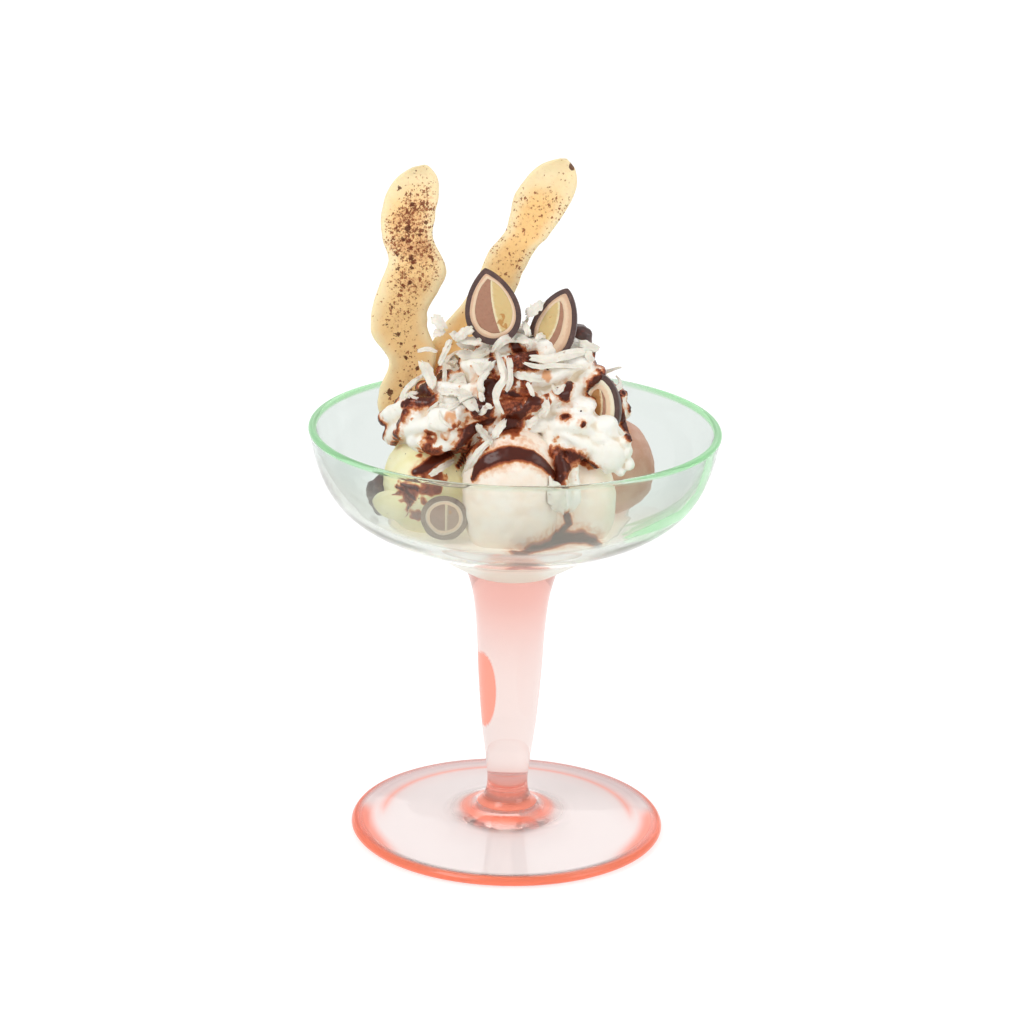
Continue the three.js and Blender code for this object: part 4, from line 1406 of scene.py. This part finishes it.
class SUNDAE_OT_ice(bpy.types.Operator):
    """Makes the scoops and what has melted from them"""
    bl_idname = "sundae.ice"
    bl_label = "Ice cream"

    def execute(self, context):
        for name, size in SCOOPS.items():
            skin = lump(**size)
            seed = size.get("seed", 1)
            rise = waves(skin.points, (0.32, 5, seed), (0.16, 1.8, seed))
            skin.raise_by(rise + waves(skin.points * (1, 1, 4), (0.1, 3.5, seed + 9)))
            skin.points = inside_bowl(skin.points)
            STORE[name] = skin
        STORE["pool"] = self.pool(context.scene.sundae_ice.level / MM)
        return {"FINISHED"}

    def pool(self, level):
        """The pool reaches a little into the wall, so that no air shows between them."""
        angle = all_round(180)
        creep = waves(circle(20, 0, angle), (1.1, 9, 3), (0.5, 3, 4))
        edge = level + creep + 0.9 * smooth(-np.cos(angle), 0.2, 1)
        edge_reach = wall_at(edge) + POOL_CREEP
        dip = 0.5
        rings = []
        for share in np.linspace(0.08, 1, 26):
            reach = edge_reach * share
            swell = noise(circle(reach, 0, angle), 7, 5) * 0.45
            height = level - dip + swell + (edge - level + dip) * share ** 6
            rings.append(circle(reach, np.where(share > 0.99, edge, height), angle))
        for share in np.linspace(0.97, 0.06, 24):
            reach = edge_reach * share
            rings.append(circle(reach, floor_under(reach) - POOL_CREEP, angle))
        return ringed((0, 0, level - dip), rings, (0, 0, floor_under(0) - POOL_CREEP))


# The whipped cream

class SUNDAE_OT_cream(bpy.types.Operator):
    """Pipes the whipped cream and melds it into one heap"""
    bl_idname = "sundae.cream"
    bl_label = "Whipped cream"

    def execute(self, context):
        looks = context.scene.sundae_cream
        parts = [self.round_of(r) for r in ROUNDS]
        parts += [rope(**line) for line in ROPES]
        parts += [lump(**core, rows=40, columns=60) for core in CORES]
        outer = Surface(gathered(parts))
        parts += self.lobes(outer) + self.shells(outer)
        skin = melded(parts, looks.fineness / MM)
        skin.raise_by(waves(skin.points, *CREAM_WAVES))
        skin.points = inside_bowl(skin.points)
        STORE["cream"] = skin
        return {"FINISHED"}

    def round_of(self, arc):
        angles = np.radians(arc["start"] + np.linspace(0, 1, 9) * arc["sweep"])
        rise = arc["rise"] * np.linspace(0, 1, 9)
        line = np.stack([
            arc["middle"] + arc["reach"] * np.cos(angles),
            2 + ROUND_DEPTH * arc["reach"] * np.sin(angles),
            arc["height"] + rise,
        ], -1)
        return rope(line, arc["radius"])

    def lobes(self, outer):
        out = []
        for i, (x, height, wide, high, turn) in enumerate(LOBES):
            skin = lump((0, 0, 0), (wide, (wide + high) / 2, high), 2.2, 0.05, i, 30, 44)
            lean = np.array(Matrix.Rotation(math.radians(turn), 3, "Y"))
            skin.points = skin.points @ lean.T + outer.seen(x, height) + (0, 1.2, -0.4)
            out.append(skin)
        place, teeth = TEETH
        depth = outer.seen(*place)[1]
        for x, height, radius in teeth:
            eye = np.array(CAMERA_AT)
            way = np.array((x, 0, height)) - eye
            middle = eye + way * (depth - eye[1]) / -eye[1]
            out.append(lump(middle, (radius, radius * 1.6, radius), 2, 0.06, x, 16, 24))
        return out

    def shells(self, outer):
        out = []
        for start, end, radius in SHELLS:
            points = []
            for share in (0, 0.5, 1):
                place = np.array(start) * (1 - share) + np.array(end) * share
                points.append(outer.seen(*place, free=(-12, 4)) + (0, 3 - 1.5 * share, 0))
            out.append(rope(points, radius, 0.75, ridges=8, depth=0.1, twist=0.1))
        return out


# The sauce

class SUNDAE_OT_sauce(bpy.types.Operator):
    """Pours the sauce over the food and finishes what it lies on"""
    bl_idname = "sundae.sauce"
    bl_label = "Sauce"

    def execute(self, context):
        looks = context.scene.sundae_sauce
        food = Surface(gathered([skin.bare() for skin in STORE.values()]))
        count = looks.drizzles
        strokes = landed(self.front(food), self.around(food, count))
        stains = landed(self.patches(food, STAINS))
        mottles = landed(self.patches(food, MOTTLED), self.blotches(food, count))
        for name, skin in STORE.items():
            creamy = name == "cream"
            near = nearness(skin.points, *strokes)
            ragged = waves(skin.points, *SAUCE_EDGE_WAVES)
            grain = waves(skin.points, *SAUCE_GRAIN_WAVES)
            mottled = 1.3 * nearness(skin.points, *mottles)
            mottled = smooth(mottled + grain * (mottled > -0.9), 0, 1.1)
            if not creamy:
                ragged = ragged * ICE_MARBLE
            poured = smooth(near + ragged, *POURED)
            if creamy:
                poured = poured * np.clip(0.85 + 0.3 * noise(skin.points, 2.6, 16), 0, 1)
                skin.values["hollow"] = smooth(skin.hollows(), *GROOVES)
            skin.values["sauce"] = np.maximum(poured, 0.62 * mottled)
            around = smooth(near + 0.5 * ragged, *STAIN_ROUND) * 0.5
            stained = smooth(nearness(skin.points, *stains) + 0.6 * grain, *STAINED)
            skin.values["stain"] = np.maximum(stained * (1 if creamy else 0.5), around)
            bead = np.maximum(smooth(near + ragged, *BEADED), 0.4 * mottled)
            skin.raise_by(looks.thick / MM * bead)
        self.finish_food(context)
        return {"FINISHED"}

    def patches(self, food, places):
        return ((food.seen(x, height), radius) for radius, x, height in places)

    def front(self, food):
        for places in STROKES:
            for x, height, radius in sampled(places):
                yield food.seen(x, height), radius

    def turn(self, draw, i, count, turns):
        """The angle of one of some places that are spread unevenly round the back."""
        start, sweep = turns
        return math.radians(start + sweep * (i + draw.uniform(0.2, 0.8)) / count)

    def around(self, food, count):
        """Drizzles that run down the sides and the back."""
        draw = np.random.default_rng(DRIZZLE_SEED)
        for i in range(count):
            angle = self.turn(draw, i, count, DRIZZLE_TURNS)
            top = draw.uniform(*DRIZZLE_TOPS)
            low = top - draw.uniform(*DRIZZLE_DROPS)
            lean = draw.uniform(*DRIZZLE_LEANS)
            radius = draw.uniform(*DRIZZLE_RADII)
            for share in np.linspace(0, 1, 30):
                turn = angle + lean * share + 0.12 * math.sin(9 * share + i)
                hit = food.from_side(turn, top + (low - top) * share)
                yield hit, radius * (1 - 0.4 * share)

    def blotches(self, food, count):
        """Mottled patches on the sides and the back."""
        draw = np.random.default_rng(BLOTCH_SEED)
        for i in range(count):
            angle = self.turn(draw, i, count, BLOTCH_TURNS)
            hit = food.from_side(angle, draw.uniform(*BLOTCH_HEIGHTS))
            if hit is not None:
                yield hit, draw.uniform(*BLOTCH_RADII)

    def finish_food(self, context):
        ice, sauce = context.scene.sundae_ice, context.scene.sundae_sauce
        pale = TONES["cream ice clouds"]
        cream = ice_finish("Cream ice", ice.cream, pale, sauce)
        # Painted light: the right scoop, which lies in shade, has a copy of the cream ice that
        # glows more, and the chocolate scoop and the pool glow too
        right = ice_finish("Right cream ice", ice.cream, pale, sauce, glow=0.14)
        vanilla = ice_finish("Vanilla ice", ice.vanilla, TONES["vanilla clouds"], sauce,
                             specks=TONES["vanilla specks"])
        brown = ice_finish("Chocolate ice", ice.chocolate, TONES["chocolate clouds"], sauce,
                           glow=0.09)
        pool = ice_finish("Melted ice", ice.melted, TONES["pool clouds"], sauce, rough=0.3,
                          glow=0.25)
        white = cream_finish(context.scene.sundae_cream.white, sauce)
        for name, material, slot in (
            ("scoop_front", cream, "cream_ice"), ("scoop_right", right, "cream_ice"),
            ("scoop_back", cream, "cream_ice"), ("scoop_vanilla", vanilla, "vanilla_ice"),
            ("scoop_chocolate", brown, "chocolate_ice"), ("vanilla_lump", vanilla, "vanilla_ice"),
        ):
            made(name + "_ice", STORE[name], material, slot, [name])
        made("pool", STORE["pool"], pool, "melted_ice_cream", ["melted_ice_cream"])
        made("cream_heap", STORE["cream"], white, "whipped_cream", ["whipped_cream"])


# The shavings and crumbs

def strewing_tree(name, material):
    """A tree that strews pieces of a collection over a surface, where its points allow it."""
    tree = bpy.data.node_groups.new(name, "GeometryNodeTree")
    inputs = {}
    for title, kind in {
        "Surface": "NodeSocketGeometry", "Pieces": "NodeSocketCollection",
        "Per square metre": "NodeSocketFloat", "Smallest": "NodeSocketFloat",
        "Largest": "NodeSocketFloat", "Tilt": "NodeSocketFloat", "Seed": "NodeSocketInt",
    }.items():
        socket = tree.interface.new_socket(title, in_out="INPUT", socket_type=kind)
        inputs[title] = socket.identifier
    tree.interface.new_socket("Pieces", in_out="OUTPUT", socket_type="NodeSocketGeometry")

    def node(kind, settings=None, sockets=None):
        new = tree.nodes.new(kind)
        for key, value in (settings or {}).items():
            setattr(new, key, value)
        for key, value in (sockets or {}).items():
            if isinstance(value, bpy.types.NodeSocket):
                tree.links.new(value, new.inputs[key])
            else:
                new.inputs[key].default_value = value
        return new

    given = node("NodeGroupInput").outputs
    allowed = node("GeometryNodeInputNamedAttribute", {"data_type": "FLOAT"}, {"Name": "strewn"})
    density = node("ShaderNodeMath", {"operation": "MULTIPLY"},
                   {0: given["Per square metre"], 1: allowed.outputs["Attribute"]})
    points = node("GeometryNodeDistributePointsOnFaces", None, {
        "Mesh": given["Surface"], "Density": density.outputs[0], "Seed": given["Seed"],
    })
    back = node("ShaderNodeMath", {"operation": "MULTIPLY"}, {0: given["Tilt"], 1: -1.0})
    least = node("ShaderNodeCombineXYZ", None, {"X": back.outputs[0], "Y": back.outputs[0]})
    most = node("ShaderNodeCombineXYZ", None,
                {"X": given["Tilt"], "Y": given["Tilt"], "Z": 2 * math.pi})
    turn = node("FunctionNodeRandomValue", {"data_type": "FLOAT_VECTOR"},
                {0: least.outputs[0], 1: most.outputs[0], "Seed": given["Seed"]})
    euler = node("FunctionNodeEulerToRotation", None, {0: turn.outputs[0]})
    stand = node("FunctionNodeRotateRotation", {"rotation_space": "LOCAL"},
                 {0: points.outputs["Rotation"], 1: euler.outputs[0]})
    size = node("FunctionNodeRandomValue", {"data_type": "FLOAT"},
                {2: given["Smallest"], 3: given["Largest"], "Seed": given["Seed"]})
    pieces = node("GeometryNodeCollectionInfo", None,
                  {"Collection": given["Pieces"], "Separate Children": True,
                   "Reset Children": True})
    copies = node("GeometryNodeInstanceOnPoints", None, {
        "Points": points.outputs["Points"], "Instance": pieces.outputs[0],
        "Pick Instance": True, "Rotation": stand.outputs[0], "Scale": size.outputs[1],
    })
    real = node("GeometryNodeRealizeInstances", None, {"Geometry": copies.outputs[0]})
    painted = node("GeometryNodeSetMaterial", None,
                   {"Geometry": real.outputs[0], "Material": material})
    out = node("NodeGroupOutput")
    tree.links.new(painted.outputs[0], out.inputs[0])
    return tree, inputs


def strewn(name, skin, allowed, patterns, material, slot, per_area, sizes, tilt, seed):
    """Pieces strewn over a skin, drawn from some patterns, as one plain mesh."""
    store = bpy.data.collections.new(name + " patterns")
    for i, pattern in enumerate(patterns):
        mesh = mesh_of(f"{name} pattern {i}", pattern)
        outward(mesh)
        smoothed(mesh, True)
        store.objects.link(bpy.data.objects.new(mesh.name, mesh))
    host = skin.bare()
    host.values["strewn"] = allowed
    ground = shown(name + " ground", mesh_of(name + " ground", host))
    tree, inputs = strewing_tree(name + " strewing", material)
    modifier = ground.modifiers.new("Strew", "NODES")
    modifier.node_group = tree
    for title, value in {
        "Pieces": store, "Per square metre": float(per_area), "Smallest": float(sizes[0]),
        "Largest": float(sizes[1]), "Tilt": float(math.radians(tilt)), "Seed": int(seed),
    }.items():
        modifier[inputs[title]] = value
    mesh = applied(ground)
    mesh.name = name
    for thing in list(store.objects):
        bpy.data.objects.remove(thing)
    bpy.data.collections.remove(store)
    return carried(shown(name, mesh), slot)


class SUNDAE_OT_shavings(bpy.types.Operator):
    """Lays the white chocolate shavings and the dark crumbs on the cream"""
    bl_idname = "sundae.shavings"
    bl_label = "Shavings and crumbs"

    def execute(self, context):
        looks = context.scene.sundae_cream
        material = shaving_finish(looks.shaving)
        cream = STORE["cream"]
        food = [skin.bare() for skin in STORE.values()]
        self.front(Surface(gathered([*food, *SWEET_SKINS])), material)
        x, y, height = cream.points.T
        slope = cream.normals()[:, 2]
        on_top = smooth(height, *STREWN_HEIGHTS) * smooth(slope, *STREWN_SLOPES)
        white = smooth(x, *BARE_RIGHT) * smooth(-y, 0, 6)
        low_left = smooth(-x, *BARE_LEFT) * (1 - smooth(height, *BARE_BELOW))
        allowed = on_top * (1 - 0.8 * white) * (1 - 0.8 * low_left)
        allowed = allowed * (0.35 + 0.65 * smooth(y, 0, 9))
        strewn("shavings_small", cream, allowed, self.patterns(), material, "white_chocolate",
               looks.shavings, SHAVING_SCALES, SHAVING_TILT, looks.seed)
        dark = paste_finish("Chocolate crumbs", context.scene.sundae_sweets.coat,
                            TONES["crumb grain"], 1, 0.1)
        strewn("chocolate_crumbs", cream, on_top * (1 - 0.6 * white), self.crumbs(), dark,
               "dark_chocolate", CRUMBS_PER_AREA, CRUMB_SCALES, CRUMB_TILT, looks.seed + 1)
        return {"FINISHED"}

    def front(self, outer, material):
        skins = []
        for i, (width, lift, twist, places) in enumerate(CURLS):
            line = [outer.seen(*place, lift, (-4 - lift, 2)) for place in places]
            line = curve(line, max(5, 16 // (len(line) - 1)))
            arch = np.sin(np.linspace(0, np.pi, len(line))) * 0.7
            line = line + np.outer(arch, (0, -1, 0.3))
            skins.append(ribbon(line, width, LARGE_SHAVING, (0.1, -1, 0.45), twist, i + 1))
        made("shavings_large", gathered(skins), material, "white_chocolate", crisp=True)

    def patterns(self):
        """Straight, bowed and rolled shavings to draw from."""
        out = []
        t = np.linspace(-1, 1, 11)
        for i, (length, width, bow) in enumerate(PATTERNS):
            line = np.stack([t * length / 2, 0.4 * np.sin(3 * t + i), 0.9 - bow * t * t + bow], -1)
            twist = 18 * (i % 3 - 1)
            out.append(ribbon(line, width, SMALL_SHAVING, (0, 0, 1), twist, i + 40))
        return out

    def crumbs(self):
        out = []
        for i in range(4):
            skin = globe(4, 7)
            skin.points = skin.points * CRUMB_SIZE
            skin.points = skin.points * (1 + 0.35 * noise(skin.points * 9, 1.5, i))[:, None]
            out.append(skin)
        return out


# The halved chocolates

def almond(way, length, half, inset, point):
    """Where the almond-shaped skin lies in each direction from the sweet's middle."""
    ring = np.hypot(way[..., 0], way[..., 1])
    from_tip = np.clip((1 - way[..., 2]) / 2, 0, 1)
    fullest = (point / (point + 0.5)) ** point * (0.5 / (point + 0.5)) ** 0.5
    swell = from_tip ** point * (1 - from_tip) ** 0.5 / fullest
    reach = (half - inset) * swell / np.maximum(ring, 1e-6)
    return np.stack([
        way[..., 0] * reach, way[..., 1] * reach, way[..., 2] * (length / 2 - inset * 1.2),
    ], -1)


def by_row(first, rows, last, columns):
    """A value for each point of a ringed skin, given one for each ring."""
    return np.concatenate([[first], np.repeat(rows, columns), [last]])


class SUNDAE_OT_sweets(bpy.types.Operator):
    """Makes the halved filled chocolates, layer by layer"""
    bl_idname = "sundae.sweets"
    bl_label = "Halved chocolates"

    def execute(self, context):
        looks = context.scene.sundae_sweets
        for name, size in SWEETS.items():
            tones = {}
            for key in ("coat", "nougat", "praline", "marzipan"):
                own = SWEET_TONES.get((name, key))
                tones[key] = linear(own) if own else tuple(getattr(looks, key))
            finishes = {
                "coat": paste_finish("Dark coat", tones["coat"], TONES["coat grain"], 3, 0.15,
                                     0.36, 0.2),
                "nougat": nougat_finish(tones["nougat"]),
                "praline": paste_finish("Praline", tones["praline"], TONES["praline grain"],
                                        0.9, 0.1),
                "marzipan": marzipan_finish(tones["marzipan"]),
            }
            for layer, skin in self.layers(size).items():
                skin.points = self.placed(skin.points, size)
                SWEET_SKINS.append(skin.bare())
                slot = "dark_chocolate" if layer == "coat" else layer
                made(f"{name}_{layer}_cut", skin, finishes[layer], slot, [f"{name}_{layer}"])
        return {"FINISHED"}

    def placed(self, points, size):
        turn = Matrix.Identity(3)
        for angle, axis in ((-size["turn"], "Z"), (size["tilt"], "Y"), (size["nod"], "X")):
            turn = turn @ Matrix.Rotation(math.radians(angle), 3, axis)
        return points @ np.array(turn).T + np.array(size["at"])

    def layers(self, size):
        inner = COAT + size.get("nougat", NOUGAT)
        core = self.shell(size, (inner, size["aside"]), None)
        return {
            "coat": self.shell(size, (0, 0), (COAT, 0)),
            "nougat": self.shell(size, (COAT, 0), (inner, size["aside"])),
            "praline": self.side_of(core, size, -size["yellow"]),
            "marzipan": self.side_of(core, size, size["yellow"]),
        }

    def shell(self, size, outer, inner):
        """The half shell between two skins, or the half core in one. A skin is given by its
        depth and how far it lies aside."""
        columns = 96
        angle = all_round(columns)
        face, back = circle(1, 0, angle), np.array((0.0, 0, -1))
        if not size.get("cross"):
            face, back = face[:, [0, 2, 1]], np.array((0.0, 1, 0))

        def ring(turn, skin):
            inset, aside = skin
            way = face * math.cos(turn) + back * math.sin(turn)
            wander = 0.16 * noise(face * 4 + inset, 1.6, 5) if 0 < inset else 0 * angle
            place = almond(way, size["length"], size["half"], inset + wander, size["point"])
            return place + (aside, 0, 0)

        def pole(skin):
            place = almond(back[None], size["length"], size["half"], skin[0], size["point"])
            return place[0] + (skin[1], 0, 0)

        turns = np.linspace(0, np.pi / 2, 26)[1:-1]
        outward = [ring(t, outer) for t in turns]
        rim = ring(0, outer)
        if inner is None:
            middle = rim.mean(0)
            rows = [middle + (rim - middle) * s for s in np.linspace(0.08, 1, 22)]
            rows = [self.uneven(r, back, 0.22) for r in rows]
            return ringed(middle, [*rows, *outward], pole(outer))
        hollow = [ring(t, inner) for t in turns[::-1]]
        inside = ring(0, inner)
        shares = np.linspace(0, 1, 7)
        rows = [self.uneven(inside + (rim - inside) * s, back, 0.12) for s in shares]
        skin = ringed(pole(inner), [*hollow, *rows, *outward], pole(outer))
        depth = np.concatenate([np.ones(len(hollow)), 1 - shares, np.zeros(len(outward))])
        skin.values["deep"] = by_row(1, depth, 0, columns)
        return skin

    def uneven(self, points, back, depth):
        """A cut face that isn't quite flat, and never stands proud of the cut by much."""
        return points + np.outer(depth * waves(points, *CUT_WAVES), back)

    def side_of(self, core, size, side):
        """The part of the core on one side of its round seam."""
        def bow(points):
            radius = size.get("round", SEAM_ROUND)
            height = np.clip(points[:, 2], -radius, radius)
            return size["yellow"] * (radius - np.sqrt(radius ** 2 - height ** 2))

        straight = core.points - np.outer(bow(core.points), (1, 0, 0))
        mesh = mesh_of("core", Skin(straight, core.triangles))
        work = bmesh.new()
        work.from_mesh(mesh)
        bmesh.ops.recalc_face_normals(work, faces=work.faces)
        everything = work.verts[:] + work.edges[:] + work.faces[:]
        cut = bmesh.ops.bisect_plane(
            work, geom=everything, plane_co=(size["seam"] * MM, 0, 0), plane_no=(side, 0, 0),
            clear_inner=True)
        edges = [e for e in cut["geom_cut"] if isinstance(e, bmesh.types.BMEdge)]
        bmesh.ops.triangle_fill(work, edges=edges, use_beauty=True)
        bmesh.ops.triangulate(work, faces=work.faces)
        work.to_mesh(mesh)
        work.free()
        skin = skin_of(mesh)
        bpy.data.meshes.remove(mesh)
        skin.values["seam"] = np.abs(skin.points[:, 0] - size["seam"])
        skin.values["low"] = -skin.points[:, 2]
        skin.points = skin.points + np.outer(bow(skin.points), (1, 0, 0))
        return skin


class SUNDAE_OT_chunks(bpy.types.Operator):
    """Makes the pieces of dark chocolate"""
    bl_idname = "sundae.chunks"
    bl_label = "Chocolate pieces"

    def execute(self, context):
        looks = context.scene.sundae_sweets
        material = paste_finish("Chocolate piece", looks.coat, TONES["chunk grain"], 2, 0.12,
                                0.3, 0.4)
        for name, size in CHUNKS.items():
            skin = lump(**size, rows=50, columns=80)
            broken = np.abs(noise(skin.points, 3.4, size["seed"]))
            skin.raise_by(0.5 - 1.3 * broken + 0.2 * noise(skin.points, 1, 3))
            skin.points = inside_bowl(skin.points)
            made(name + "_piece", skin, material, "dark_chocolate", [name])
        return {"FINISHED"}


# The wafers

class SUNDAE_OT_wafers(bpy.types.Operator):
    """Bakes the two wavy wafers"""
    bl_idname = "sundae.wafers"
    bl_label = "Wafers"

    def execute(self, context):
        looks = context.scene.sundae_wafers
        left = self.ribbon(WAFERS["wafer_left"], looks.thickness / MM, 1)
        right = self.ribbon(WAFERS["wafer_right"], looks.thickness / MM, 2)
        height, across = left.points[:, 2], left.values["across"]
        levels, zones, middles, widths = zip(*FLECKED)
        patch = 0.85 + 0.35 * noise(left.points, 4, 21)
        off = (across - np.interp(height, levels, middles)) / np.interp(height, levels, widths)
        zone = np.interp(height, levels, zones)
        left.values["flecks"] = np.clip(zone * patch * np.exp(-off ** 4), 0, 1) + 0.02
        spots = np.array(BLOTS)
        place = np.column_stack([on_front(left.points), 0 * height])
        near = nearness(place, spots * (1, 1, 0), 2.2 * spots[:, 2])
        left.values["burn"] = smooth(near, 0, 1)
        height = right.points[:, 2]
        specked = smooth(height, *SPECKED_FROM) * (1 - smooth(height, *SPECKED_TO))
        right.values["flecks"] = 0.03 + 0.24 * specked * (0.7 + 0.5 * noise(right.points, 6, 22))
        tip = np.linalg.norm((right.points - BURNT_TIP) * (1.6, 0.2, 1), axis=1)
        right.values["burn"] = 1 - smooth(tip + 0.3 * noise(right.points, 1, 23), 1, 1.8)
        for name, skin, colour in (("wafer_left", left, looks.left),
                                   ("wafer_right", right, looks.right)):
            paler = 0.75 * smooth(skin.points[:, 2], *PALER)
            skin.values["golden"] = (1 - np.abs(skin.values["across"]) ** 2.2) * (1 - paler)
            material = wafer_finish(name.replace("_", " "), looks.edge, colour)
            made(name + "_baked", skin, material, "wafer", [name])
        return {"FINISHED"}

    def ribbon(self, size, thick, seed):
        rows = np.array(size["rows"], float)
        steps = 14
        left, right = curve(rows[:, :2], steps), curve(rows[:, 2:], steps)
        t = np.linspace(0, 1, len(left))
        half = 30
        across = np.concatenate([np.linspace(-1, 1, half), np.linspace(1, -1, half)[1:-1]])
        face = np.concatenate([np.ones(half), -np.ones(half - 2)])
        rounded = np.sqrt(np.clip(1 - np.abs(across) ** 8, 0, 1))
        rings = []
        for i, share in enumerate(t):
            middle, reach = (left[i] + right[i]) / 2, (right[i] - left[i]) / 2
            wander = np.stack([across * 3, 0 * across, np.full(len(across), middle[1])], -1)
            worn = 1 + WAFER_WORN * noise(wander, 2.6, seed)
            plan = middle + np.outer(across * worn, reach)
            wave = WAFER_WAVE * np.sin(2 * np.pi * size["waves"] * share + 0.6 * across)
            flat = size["depth"] + size["lean"] * (share - 0.5) + wave
            place = np.stack([plan[:, 0], flat, plan[:, 1]], -1)
            own = place * (1, 0.3, 1) + 50 * face[:, None]
            blister = 1 + WAFER_BLISTERS * noise(own, 2.4, seed)
            place[:, 1] -= face * thick / 2 * rounded * blister
            rings.append(place)
        skin = ringed(rings[0].mean(0), rings, rings[-1].mean(0))
        skin.values["across"] = np.concatenate([[0], np.tile(across, len(t)), [0]])
        return skin


# The add-on

STEPS = [
    SUNDAE_OT_stage,
    SUNDAE_OT_glass,
    SUNDAE_OT_ice,
    SUNDAE_OT_cream,
    SUNDAE_OT_sauce,
    SUNDAE_OT_sweets,
    SUNDAE_OT_shavings,
    SUNDAE_OT_chunks,
    SUNDAE_OT_wafers,
]


class SUNDAE_PT_panel(bpy.types.Panel):
    bl_label = "Sundae"
    bl_idname = "SUNDAE_PT_panel"
    bl_space_type = "VIEW_3D"
    bl_region_type = "UI"
    bl_category = "Sundae"

    def draw(self, context):
        for name, kind in LOOKS.items():
            box = self.layout.box()
            box.label(text=name.replace("_", " ").capitalize())
            for key in kind.__annotations__:
                box.prop(getattr(context.scene, name), key)
        for step in STEPS:
            self.layout.operator(step.bl_idname)


def register():
    for kind in (*LOOKS.values(), *STEPS, SUNDAE_PT_panel):
        bpy.utils.register_class(kind)
    for name, kind in LOOKS.items():
        setattr(bpy.types.Scene, name, PointerProperty(type=kind))


def unregister():
    for name in LOOKS:
        delattr(bpy.types.Scene, name)
    for kind in (SUNDAE_PT_panel, *reversed(STEPS), *LOOKS.values()):
        bpy.utils.unregister_class(kind)


def main():
    register()
    for step in STEPS:
        family, action = step.bl_idname.split(".")
        getattr(getattr(bpy.ops, family), action)()


if __name__ == "__main__":
    main()
